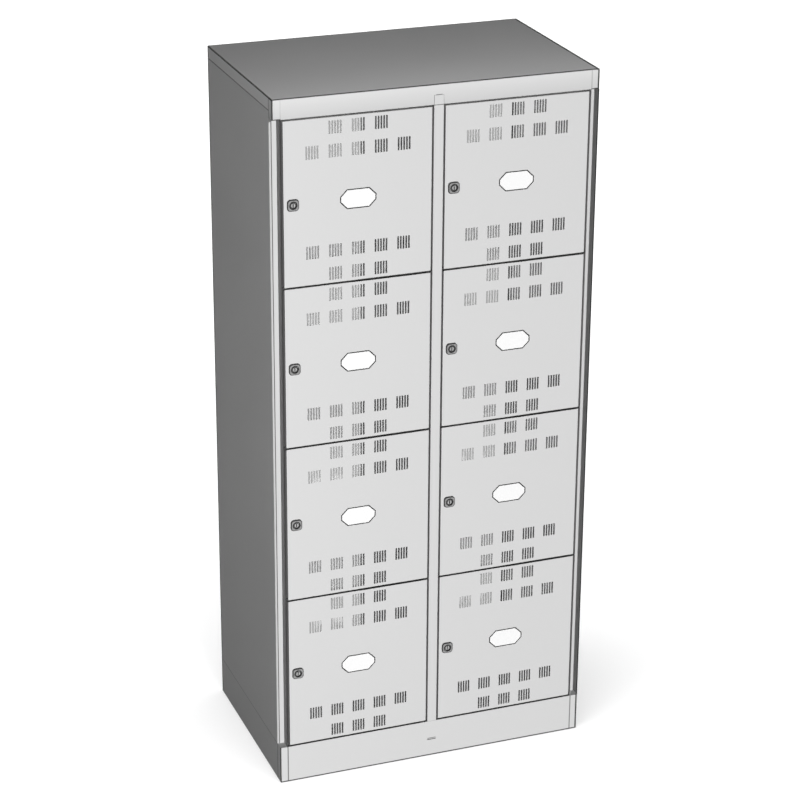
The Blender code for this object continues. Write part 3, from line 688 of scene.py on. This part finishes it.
def onDoor(pattern, tag, name, finishes, body, slotName, cadNode):
    # a copy of a piece made about the middle of a door's skin, set on one door
    low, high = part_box("door_" + tag)
    copy = standing(name, pattern.data.copy())
    moved(copy, ((low.x + high.x) / 2, low.y, (low.z + high.z) / 2))
    return stands(copy, name, finishes, body, slotName, cadNode)


def hangDoors():
    pan = makeDoorPan()
    for tag in tags:
        onDoor(pan, tag, "doorPan_" + tag, (doorCoat,), "door_" + tag, "door_paint", "door_" + tag)
    bpy.data.objects.remove(pan, do_unlink=True)


hangDoors()
print("locker: doors hung")

# label plates: white octagonal inserts with a flange behind the skin
label = {
    "gap": 0.0026,
    "proud": 0.0003,
    "edge": 0.00025,
    "flange": 0.004,
    "flangeThickness": 0.0012,
}
cardWhite = labelCard("whiteLabelCard")


def makeLabelPlate():
    width, height, chamfer = door["window"]
    gap, grow = label["gap"], label["flange"]
    rear = sheet + seam
    thick = rear + label["flangeThickness"]
    outline = octagon(width - 2 * gap, height - 2 * gap, chamfer - gap / 2, 0.0015)
    face = extruded(outline, -label["proud"], thick)
    bm = bmesh.new()
    bm.from_mesh(face.data)
    rim = [e for e in bm.edges if all(v.co.y < -label["proud"] / 2 for v in e.verts)]
    bmesh.ops.bevel(bm, geom=rim, offset=label["edge"], segments=3, profile=0.5, affect="EDGES")
    bm.to_mesh(face.data)
    bm.free()
    flange = extruded(octagon(width + 2 * grow, height + 2 * grow, chamfer + grow / 2, 0.0012), rear, thick)
    return combine(face, [flange], "UNION")


def fitLabels():
    plate = makeLabelPlate()
    for tag in tags:
        onDoor(plate, tag, "labelPlate_" + tag, (cardWhite,), "door_" + tag, "label", "label_plate_" + tag)
    bpy.data.objects.remove(plate, do_unlink=True)


fitLabels()
print("locker: labels fitted")

# cam locks
lock = {
    "size": 0.0285,
    "corner": 0.0080,
    "proud": 0.0040,
    "rim": 0.0024,
    "recess": 0.0093,
    "recessDepth": 0.0022,
    "barrel": 0.0090,
    "barrelLength": 0.0215,
    "bore": 0.0069,
    "core": 0.0066,
    "coreSet": 0.0008,
    "coreEdge": 0.0006,
    "keyWidth": 0.0022,
    "keyHeight": 0.0094,
    "keyDepth": 0.0060,
    "nut": 0.0240,
    "nutThickness": 0.0040,
    "thread": 0.00035,
    "threadPitch": 0.0015,
    "tail": 0.0040,
    "tailHole": 0.0043,
    "camPlace": 0.0235,
    "camThickness": 0.0020,
    "camWidth": 0.0140,
    "camReach": 0.0220,
    "head": 0.0060,
    "headThickness": 0.0020,
}
bezelMetal = castMetal("satinZincBezel", 152, 0.35, 0.42, 0.3)
rimMetal = castMetal("darkBezelRim", 58, 0.35, 0.45, 0.3)
ringMetal = castMetal("darkLockRing", 46, 0.35, 0.45, 0.3)
coreMetal = castMetal("nickelLockCore", 174, 0.45, 0.34, 0.4)
keyShadow = castMetal("keySlotDark", 25, 0.3, 0.6, 0.3)
zincPlate = castMetal("zincPlatedSteel", 165, 0.7, 0.36, 0.4)
rodSteel = castMetal("greyRodSteel", 88, 0.4, 0.45, 0.3)


def makeLockBody():
    # bezel with a rounded rim, a sunk ring round the core, a threaded barrel and its nut
    u, r = lock["size"] / 2, lock["corner"]
    steps = 5
    bm = bmesh.new()
    rings = []
    for step in range(steps + 1):
        turn = math.pi / 2 * step / steps
        inset = lock["rim"] * (1 - math.cos(turn))
        w, corner = u - inset, max(r - inset, 0.001)
        y = -lock["proud"] + lock["rim"] * (1 - math.sin(turn))
        outline = rounded([(-w, -w, corner), (w, -w, corner), (w, w, corner), (-w, w, corner)], 8)
        rings.append([bm.verts.new((a, y, b)) for a, b in outline])
    base = [bm.verts.new((v.co.x, -seam, v.co.z)) for v in rings[0]]
    rings.insert(0, base)
    count = len(base)
    for first, second in zip(rings, rings[1:]):
        for k in range(count):
            bm.faces.new([first[k], first[(k + 1) % count], second[(k + 1) % count], second[k]])
    bm.faces.new(rings[-1])
    bm.faces.new(list(reversed(base)))
    bezel = pieceOf("bezel", bm)
    nutFront = sheet + seam
    y = nutFront + lock["nutThickness"] + 0.0006
    profile = [(0, -lock["proud"] / 2), (lock["barrel"], -lock["proud"] / 2), (lock["barrel"], y)]
    while y + lock["threadPitch"] < lock["barrelLength"] - 0.001:
        profile.append((lock["barrel"] - lock["thread"], y + lock["threadPitch"] / 2))
        profile.append((lock["barrel"], y + lock["threadPitch"]))
        y += lock["threadPitch"]
    profile += [(lock["barrel"] - 0.0006, lock["barrelLength"]), (0, lock["barrelLength"])]
    barrel = turned(profile, 48)
    nut = extruded(circle(lock["nut"] / 2 / math.cos(math.tau / 12), 6), nutFront, nutFront + lock["nutThickness"])
    body = combine(bezel, [barrel, nut], "UNION")
    face, deep, ring = -lock["proud"], lock["recessDepth"] - lock["proud"], lock["recess"]
    bore = extruded(circle(lock["bore"], 48), face - reach, lock["barrelLength"] + reach)
    recess = turned([(0, face - reach), (ring + 0.0006, face - reach), (ring + 0.0006, face),
                     (ring, face + 0.0006), (ring - 0.0002, deep), (0, deep)], 48)
    return smoothTurns(combine(body, [recess, bore], "DIFFERENCE"))


def makeLockCore():
    face = lock["coreSet"] - lock["proud"]
    shoulder = lock["camPlace"] - seam
    head = lock["camPlace"] + lock["camThickness"] + seam
    end = head + lock["headThickness"]
    edge, r = lock["coreEdge"], lock["core"]
    rim = [(r - edge * (1 - math.sin(math.pi / 2 * k / 4)), face + edge * (1 - math.cos(math.pi / 2 * k / 4)))
           for k in range(5)]
    profile = [(0, face + 0.00025), (r * 0.72, face + 0.00025), (r * 0.78, face)] + rim
    profile += [(r, shoulder), (lock["tail"], shoulder), (lock["tail"], head), (lock["head"], head),
                (lock["head"], end - 0.0004), (lock["head"] - 0.0004, end), (0, end)]
    w, h = lock["keyWidth"] / 2, lock["keyHeight"] / 2
    key = extruded(rounded([(-w, -h, 0.0005), (w, -h, 0.0005), (w, h, 0.0005), (-w, h, 0.0005)], 3),
                   face - reach, face + lock["keyDepth"])
    return smoothTurns(combine(turned(profile, 48), [key], "DIFFERENCE"))


def makeLockCam():
    # latch tongue that hangs down at rest, with a tapered tip
    half, reachDown = lock["camWidth"] / 2, lock["camReach"]
    tip = half / 2
    shoulder = [(half * math.cos(math.pi * k / 20), half * math.sin(math.pi * k / 20), 0) for k in range(21)]
    foot = [(-half, tip - reachDown, 0.0015), (-tip, -reachDown, 0.0012), (tip, -reachDown, 0.0012),
            (half, tip - reachDown, 0.0015)]
    rear = lock["camPlace"] + lock["camThickness"]
    plate = extruded(rounded(shoulder + foot, 3), lock["camPlace"], rear)
    hole = extruded(circle(lock["tailHole"], 32), lock["camPlace"] - reach, rear + reach)
    return combine(plate, [hole], "DIFFERENCE")


def marked(piece, index, test):
    # gives the faces that pass the test another of the piece's finishes
    for face in piece.data.polygons:
        if test(face.center, face.normal):
            face.material_index = index


def fitLocks():
    body, core, cam = makeLockBody(), makeLockCore(), makeLockCam()
    face, deep = -lock["proud"], lock["recessDepth"] - lock["proud"]
    keyTop = face + lock["coreSet"] + 0.0003
    ringEnd = lock["recess"] + 0.0008
    marked(body, 1, lambda c, n: face - seam < c.y < 0 and math.hypot(c.x, c.z) > ringEnd and n.y > -0.995)
    marked(body, 2, lambda c, n: math.hypot(c.x, c.z) < ringEnd and face + 0.0001 < c.y < deep + 0.0004)
    marked(core, 1, lambda c, n: abs(c.x) < lock["keyWidth"] / 2 + 0.00005 and keyTop < c.y < keyTop + lock["keyDepth"]
           and abs(c.z) < lock["keyHeight"] / 2 + 0.00005)
    marked(core, 2, lambda c, n: math.hypot(c.x, c.z) > lock["core"] * 0.79 and c.y < face + 0.003)
    for piece in (body, core, cam):
        moved(piece, (door["lockInset"] - (leftDoorHigh.x - leftDoorLow.x) / 2, 0, 0))
    for tag in tags:
        onDoor(body, tag, "lockBezel_" + tag, (bezelMetal, rimMetal, ringMetal), "door_" + tag, "lock_metal",
               "lock_body_" + tag)
        onDoor(core, tag, "lockCore_" + tag, (coreMetal, keyShadow, ringMetal), "lock_" + tag, "lock_core",
               "lock_core_" + tag)
        onDoor(cam, tag, "lockCam_" + tag, (zincPlate,), "lock_" + tag, "zinc", "lock_cam_" + tag)
    for piece in (body, core, cam):
        bpy.data.objects.remove(piece, do_unlink=True)


fitLocks()
print("locker: locks fitted")

# top cap: the roof with its skirts, folded along the sides and the back
cap = {"fold": 0.0016, "tone": 218}


def makeTopCap():
    shell = foldedShell(capLow, capHigh, [(0, 0, -1), (0, -1, 0)], cap["fold"])
    nose = block((-halfWidth - reach, front - reach, capLow.z - reach),
                 (halfWidth + reach, channelRear + seam, roof - sheet))
    stands(combine(shell, [nose], "DIFFERENCE"), "topCap", (coatedSteel("lightGreyRoofCoat", cap["tone"], capMarks),),
           "cabinet", "body_paint", "top_cap")


makeTopCap()

# fascia and plinth: folded boards across the front
board = {
    "fold": 0.0016,
    "lipDrop": 0.014,
    "jointWidth": 0.0009,
    "jointDepth": 0.0005,
    "fasciaTone": 226,
    "plinthTone": 219,
}
post = {
    "fold": 0.0014,
    "tongueWidth": 0.0225,
    "tongueHeight": 0.0225,
    "tongueGap": 0.0006,
    "tongueLap": 0.020,
    "hookLevel": 0.0476,
    "hookHeight": 0.0019,
    "hookSlot": 0.0028,
    "hookSet": 0.0004,
    "creaseWidth": 0.0009,
    "creaseDepth": 0.0005,
    "tone": 217,
}
notchHalf = post["tongueWidth"] / 2 + post["tongueGap"]


def jointGrooves(low, high):
    width, depth = board["jointWidth"] / 2, board["jointDepth"]
    return [block((side * wallOuter - width, front - reach, low - reach),
                  (side * wallOuter + width, front + depth, high + reach)) for side in (-1, 1)]


def stopLips(low, high):
    # strips behind the doors' edges, one to a column
    lips = []
    for side in (-1, 1):
        ends = sorted((side * (strikeEnd - seam), side * (postLipEnd + seam)))
        lips.append(block((ends[0], strikeFront, low), (ends[1], strikeRear, high)))
    return lips


def makeFascia():
    shell = foldedShell((-halfWidth, front, boardBottom), (halfWidth, channelRear, boardTop), [(0, 1, 0)],
                        board["fold"])
    shell = combine(shell, stopLips(boardBottom - board["lipDrop"], boardBottom + sheet), "UNION")
    notch = block((-notchHalf, front - reach, boardBottom - reach),
                  (notchHalf, front + sheet + seam, boardBottom + post["tongueHeight"] + post["tongueGap"]))
    holes = [rodHole(x, hingeY, boardBottom) for x in hingeX]
    shell = combine(shell, [notch] + jointGrooves(boardBottom, boardTop) + holes, "DIFFERENCE")
    stands(shell, "fasciaBoard", (coatedSteel("lightGreyFasciaCoat", board["fasciaTone"], fasciaMarks),), "cabinet",
           "front_paint", "fascia")


def makePlinth():
    shell = foldedShell((-halfWidth, front, 0), (halfWidth, channelRear, sillTop), [(0, 1, 0)], board["fold"])
    slot = block((-notchHalf, front - reach, post["hookLevel"] - post["hookSlot"] / 2),
                 (notchHalf, front + sheet + seam, post["hookLevel"] + post["hookSlot"] / 2))
    mouth = block((-notchHalf, front + sheet, sillTop - sheet - reach),
                  (notchHalf, front + 2 * (sheet + seam), sillTop + reach))
    holes = [rodHole(x, hingeY, sillTop) for x in hingeX]
    shell = combine(shell, [slot, mouth] + jointGrooves(0, sillTop) + holes, "DIFFERENCE")
    stands(shell, "plinthBoard", (coatedSteel("lightGreyPlinthCoat", board["plinthTone"], plinthMarks),), "cabinet",
           "front_paint", "plinth_front")


makeFascia()
makePlinth()

# base: the plinth's sides and back in one folded piece with floor flanges
base = {"fold": 0.0016, "flange": 0.020, "tone": 218}


def makeBase():
    shell = foldedShell(baseLow, baseHigh, [(0, -1, 0)], base["fold"])
    opening = halfWidth - base["flange"]
    well = block((-opening, baseLow.y - reach, -reach), (opening, back - base["flange"], baseHigh.z + reach))
    stands(combine(shell, [well], "DIFFERENCE"), "baseFrame",
           (coatedSteel("lightGreyBaseCoat", base["tone"], baseMarks),), "cabinet", "body_paint", "plinth_rear")


makeBase()
print("locker: roof, front boards and base made")

# stiles and post: the folded uprights between which the doors hang
stile = {"fold": 0.0014, "flange": 0.012, "tone": 212}
tab = {"reach": 0.0165, "set": 0.0015, "thickness": 0.0012, "corner": 0.0015}
uprightLow, uprightHigh = sillTop + seam, boardBottom - seam


def withTabs(piece, wall):
    # the welded plates in the gaps between the doors, with holes for the hinge rod
    low, high = (wall - tab["reach"], front + tab["set"]), (wall + sheet / 2, strikeFront - seam)
    plan = rounded([(*low, tab["corner"]), (high[0], low[1], 0), (*high, 0), (low[0], high[1], tab["corner"])], 4)
    plates = [extruded(plan, line - tab["thickness"], line, "z") for line in rowLines]
    holes = [rodHole(wall - sideGap - door["hingeInset"], hingeY, line) for line in rowLines]
    return combine(combine(piece, plates, "UNION"), holes, "DIFFERENCE")


def makeStiles():
    seat = halfWidth - sheet - seam
    for side, wall, name, marks in ((-1, rightDoorHigh.x + leftGap, "left", leftStileMarks),
                                    (1, wallInner, "right", rightStileMarks)):
        path = [(wall + sheet, front), (wall + sheet, channelRear), (seat, channelRear),
                (seat, channelRear + sheet + stile["flange"])]
        plan = foldedStrip(path, stile["fold"])
        lip = block((min(side * strikeEnd, side * (wall + sheet / 2)), strikeFront, uprightLow),
                    (max(side * strikeEnd, side * (wall + sheet / 2)), strikeRear, uprightHigh))
        upright = extruded([(side * u, v) for u, v in plan], uprightLow, uprightHigh, "z")
        upright = combine(upright, [lip], "UNION")
        if side > 0:
            upright = withTabs(upright, wall)
        stands(upright, name + "Stile", (coatedSteel(name + "StileCoat", stile["tone"], marks),), "cabinet",
               "front_paint", "stile_" + name)


def makePost():
    path = [(-postLipEnd, strikeFront), (-postHalf, strikeFront), (-postHalf, front), (postHalf, front),
            (postHalf, strikeFront), (postLipEnd, strikeFront)]
    hat = extruded(foldedStrip(path, post["fold"]), uprightLow, uprightHigh, "z")
    half, lap = post["tongueWidth"] / 2, post["tongueLap"]
    strapFront, strapRear = front + sheet + seam, front + 2 * sheet + seam
    hookLow, hookHigh = (post["hookLevel"] + side * post["hookHeight"] / 2 for side in (-1, 1))
    tongue = block((-half, front, uprightHigh - lap), (half, front + sheet, boardBottom + post["tongueHeight"]))
    pad = block((-half, front + sheet / 2, uprightLow), (half, strapRear, uprightLow + lap))
    strap = block((-half, strapFront, hookLow), (half, strapRear, uprightLow + lap))
    hook = block((-half, front + post["hookSet"], hookLow), (half, strapRear, hookHigh))
    hat = combine(hat, [tongue, pad, strap, hook], "UNION")
    crease = block((-2 * postHalf, front - reach, uprightHigh - post["creaseWidth"] / 2),
                   (2 * postHalf, front + post["creaseDepth"], uprightHigh + post["creaseWidth"] / 2))
    hat = withTabs(combine(hat, [crease], "DIFFERENCE"), -postHalf)
    stands(hat, "centrePost", (coatedSteel("lightGreyPostCoat", post["tone"], postMarks),), "cabinet",
           "front_paint", "center_post")


makeStiles()
makePost()
print("locker: uprights made")

# back sheet, partition and shelves
inner = {
    "fold": 0.0014,
    "shelfRise": 0.0025,
    "shelfLip": 0.020,
    "backTone": 218,
    "liningShadeTone": 168,       # painted shade on the back sheet's inner face
    "shelfTone": 188,
    # the partition's darker tone is painted shade
    "partitionShadeTone": 150,
}
shelfBack = back - sheet - seam
shelfCoat = coatedSteel("lightGreyShelfCoat", inner["shelfTone"], shelfMarks)


def makeBack():
    path = [(halfWidth, returnFront), (halfWidth, back), (-halfWidth, back), (-halfWidth, returnFront)]
    skin = extruded(foldedStrip(path, inner["fold"]), sillTop + seam, capLow.z - seam, "z")
    stands(skin, "backSheet", (coatedSteel("lightGreyBackCoat", inner["backTone"], backMarks),), "cabinet", "body_paint",
           "back_panel")


def makePartition():
    nose = strikeRear + seam
    path = [(postHalf, nose), (postHalf, shelfBack), (-postHalf, shelfBack), (-postHalf, nose)]
    walls = extruded(foldedStrip(path, inner["fold"]), sillTop + 2 * seam + sheet, boardTop, "z")
    step = block((-2 * postHalf, nose - reach, boardBottom - seam), (2 * postHalf, channelRear + seam, roof))
    stands(combine(walls, [step], "DIFFERENCE"), "partition",
           (coatedSteel("greyPartitionCoat", inner["partitionShadeTone"]),), "cabinet", "body_paint", "center_partition")


def makeShelf(line):
    # the right-hand shelf: a sheet folded down at the front, notched around the post's lip and the stile
    top = line + inner["shelfRise"]
    path = [(shelfBack, top), (strikeFront, top), (strikeFront, top - inner["shelfLip"])]
    main = extruded(foldedStrip(path, inner["fold"]), postLipEnd + seam, strikeEnd - seam, "x")
    seat, lap = halfWidth - sheet - seam, 0.0005
    behindWeb = channelRear + sheet + seam
    wings = [((postHalf + seam, strikeRear + seam), postLipEnd + seam + lap),
             ((strikeEnd - seam - lap, behindWeb), seat - sheet - seam),
             ((seat - sheet - seam - lap, behindWeb + stile["flange"]), seat)]
    return combine(main, [block((*low, top - sheet), (end, shelfBack, top)) for low, end in wings], "UNION")


def makeShelves():
    for row, line in enumerate(rowLines, 1):
        right = makeShelf(line)
        left = standing("left", right.data.copy())
        left.data.transform(Matrix.Diagonal((-1, 1, 1, 1)))
        left.data.flip_normals()
        for piece, side in ((left, "left"), (right, "right")):
            stands(piece, side + "Shelf_" + str(row), (shelfCoat,), "cabinet", "body_paint",
                   "shelf_" + side + "_" + str(row))


makeBack()
makePartition()
makeShelves()
for name, finish in (("side_panel_left", coatedSteel("lightGreyLeftSideCoat", 218, sidePanelMarks)),
                     ("side_panel_right", coatedSteel("lightGreyRightSideCoat", 218, sidePanelMarks)),
                     ("floor_panel", shelfCoat)):
    carried(name, finish)
print("locker: cabinet sheets made")

# hinge rods: one to a column, with the collars that carry the doors
rod = {"radius": 0.0025, "reach": 0.008, "collar": 0.0042, "collarThickness": 0.0010, "room": 0.0017}


def hangRods():
    ends = (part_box("door_left_4")[0].z - 0.002, leftDoorHigh.z + 0.002)
    edge = seam + rod["collarThickness"]
    collars = [(ends[0] - rod["room"], ends[0] + edge)]
    collars += [(line + seam, line + edge) for line in sorted(rowLines)]
    collars += [(ends[1] - edge, ends[1] + rod["room"])]
    low, high, tip = ends[0] - rod["reach"], ends[1] + rod["reach"], 0.0005
    profile = [(0, low), (rod["radius"] - tip, low), (rod["radius"], low + tip)]
    for bottom, top in collars:
        profile += [(rod["radius"], bottom), (rod["collar"], bottom), (rod["collar"], top), (rod["radius"], top)]
    profile += [(rod["radius"], high - tip), (rod["radius"] - tip, high), (0, high)]
    for side, x in zip(("left", "right"), hingeX):
        piece = moved(smoothTurns(turned(profile, 20, True)), (x, hingeY, 0))
        stands(piece, "hingeRod_" + side, (rodSteel,), "cabinet", "zinc", "hinge_rod_" + side)


hangRods()
print("locker: hinge rods hung")

# studio: pale floor, soft lamps and the photograph's camera
studio = {
    "ambient": 0.025,
    "key": 2.76, "keyFrom": (-0.03, -1.0, 0.04), "keySpread": 1.5,
    "strip": 10.5, "stripPlace": (-1.6, -1.6, 1.0), "stripSize": (0.4, 3.0), "stripAim": (-0.4, 0.0, 0.95),
    "overhead": 8.7, "overheadPlace": (0.0, -1.0, 2.05), "overheadSize": (1.6, 0.3), "overheadAim": (0.0, 0.0, 1.75),
    "fill": 0.9, "fillFrom": (0.8, 0.75, 0.02),   # right side and back, which the photograph doesn't show
    "inside": 3.5, "insideFrom": (0.036, -1.0, 0.80),
    "shelves": 2.1, "shelvesFrom": {"left": (0.358, 1.0, 0.90), "right": (0.50, 1.0, 0.90)},
    "floorLight": 4.1, "floorFrom": (-0.15, -0.25, 1.0), "floorSpread": 100,
    "floorColour": 250,
}


def lamp(name, kind, energy, place, aim=(0, 0, 0)):
    data = bpy.data.lights.new(name, kind)
    data.energy = energy
    made = bpy.data.objects.new(name, data)
    bpy.context.scene.collection.objects.link(made)
    made.location = place
    made.rotation_euler = (Vector(aim) - Vector(place)).to_track_quat("-Z", "Y").to_euler()
    return made


def areaLamp(name, energy, place, size, aim):
    made = lamp(name, "AREA", energy, place, aim)
    made.data.shape = "RECTANGLE"
    made.data.size, made.data.size_y = size
    return made


def onlyOn(made, *receivers):
    # the lamp lights these objects alone
    only = bpy.data.collections.new(made.name + "Receivers")
    for item in receivers:
        only.objects.link(item)
    made.light_linking.receiver_collection = only


def shadedBy(made, *blockers):
    # these objects alone stop the lamp's light
    shade = bpy.data.collections.new(made.name + "Shade")
    for item in blockers:
        shade.objects.link(item)
    made.light_linking.blocker_collection = shade


def seenAsWhite(finish):
    # 1 for rays that see the background: the camera's, and those in gloss and glass
    return strongest(finish.outputs("ShaderNodeLightPath", ("Is Camera Ray", "Is Glossy Ray", "Is Transmission Ray")))


def makeWorld():
    world = bpy.data.worlds.new("studioWorld")
    bpy.context.scene.world = world
    finish = Finish(world)
    seen = seenAsWhite(finish)
    strength = studio["ambient"] + seen * (1 - studio["ambient"])
    finish.shade(finish.node("ShaderNodeBackground", None, {"Color": (1, 1, 1, 1), "Strength": strength}))


def makeFloor():
    bm = bmesh.new()
    bmesh.ops.create_grid(bm, x_segments=1, y_segments=1, size=30)
    floor = pieceOf("studioFloor", bm)
    if floor.data.polygons[0].normal.z < 0:
        floor.data.flip_normals()
    floor.location.z = -0.0005
    finish = Finish(bpy.data.materials.new("paleFloor"))
    pale = finish.node("ShaderNodeBsdfDiffuse", None, {"Color": grey(studio["floorColour"])})
    dull = finish.node("ShaderNodeBsdfDiffuse", None, {"Color": grey(45)})
    made = finish.node("ShaderNodeMixShader", None, {0: seenAsWhite(finish), 1: dull, 2: pale})
    floor.data.materials.append(finish.shade(made))
    return floor


def lightStudio(floor):
    key = lamp("keyLamp", "SUN", studio["key"], studio["keyFrom"])
    key.data.angle = math.radians(studio["keySpread"])
    key.visible_glossy = False
    areaLamp("sideStrip", studio["strip"], studio["stripPlace"], studio["stripSize"], studio["stripAim"])
    overhead = areaLamp("overheadLamp", studio["overhead"], studio["overheadPlace"], studio["overheadSize"],
                        studio["overheadAim"])
    overhead.visible_glossy = False
    onlyOn(overhead, bpy.data.objects["topCap"])
    fill = lamp("fillLamp", "SUN", studio["fill"], studio["fillFrom"])
    fill.data.use_shadow = False
    # the open compartments stay as pale behind the vents as they are with the doors open
    # and only the wall on the right of each column throws a shade in them
    inside = lamp("insideLamp", "SUN", studio["inside"], studio["insideFrom"])
    inside.visible_glossy = False
    onlyOn(inside, bpy.data.objects["backSheet"])
    shadedBy(inside, nodes["side_panel_right"])
    for side, wall in (("left", bpy.data.objects["partition"]), ("right", nodes["side_panel_right"])):
        shelves = lamp(side + "ShelfLamp", "SUN", studio["shelves"], studio["shelvesFrom"][side])
        shelves.visible_glossy = False
        onlyOn(shelves, *(item for item in bpy.data.objects if item.name.startswith(side + "Shelf_")))
        shadedBy(shelves, wall)
    ground = lamp("floorLamp", "SUN", studio["floorLight"], studio["floorFrom"])
    ground.data.angle = math.radians(studio["floorSpread"])
    onlyOn(ground, floor)


def placeCamera():
    data = bpy.data.cameras.new("photoCamera")
    data.sensor_width = 36.0
    data.lens = 115.43007
    data.clip_end = 100.0
    camera = bpy.data.objects.new("photoCamera", data)
    bpy.context.scene.collection.objects.link(camera)
    right = Vector((0.936653, -0.350210, 0.005868))
    up = Vector((0.129732, 0.362438, 0.922935))
    ahead = Vector((0.325348, 0.863708, -0.384912))
    turn = Matrix((right, up, -ahead)).transposed().to_4x4()
    camera.matrix_world = Matrix.Translation((-2.071094, -5.504700, 3.328533)) @ turn
    bpy.context.scene.camera = camera


makeWorld()
lightStudio(makeFloor())
placeCamera()
view = bpy.context.scene.view_settings
view.view_transform = "Standard"
print("locker: studio and camera set")
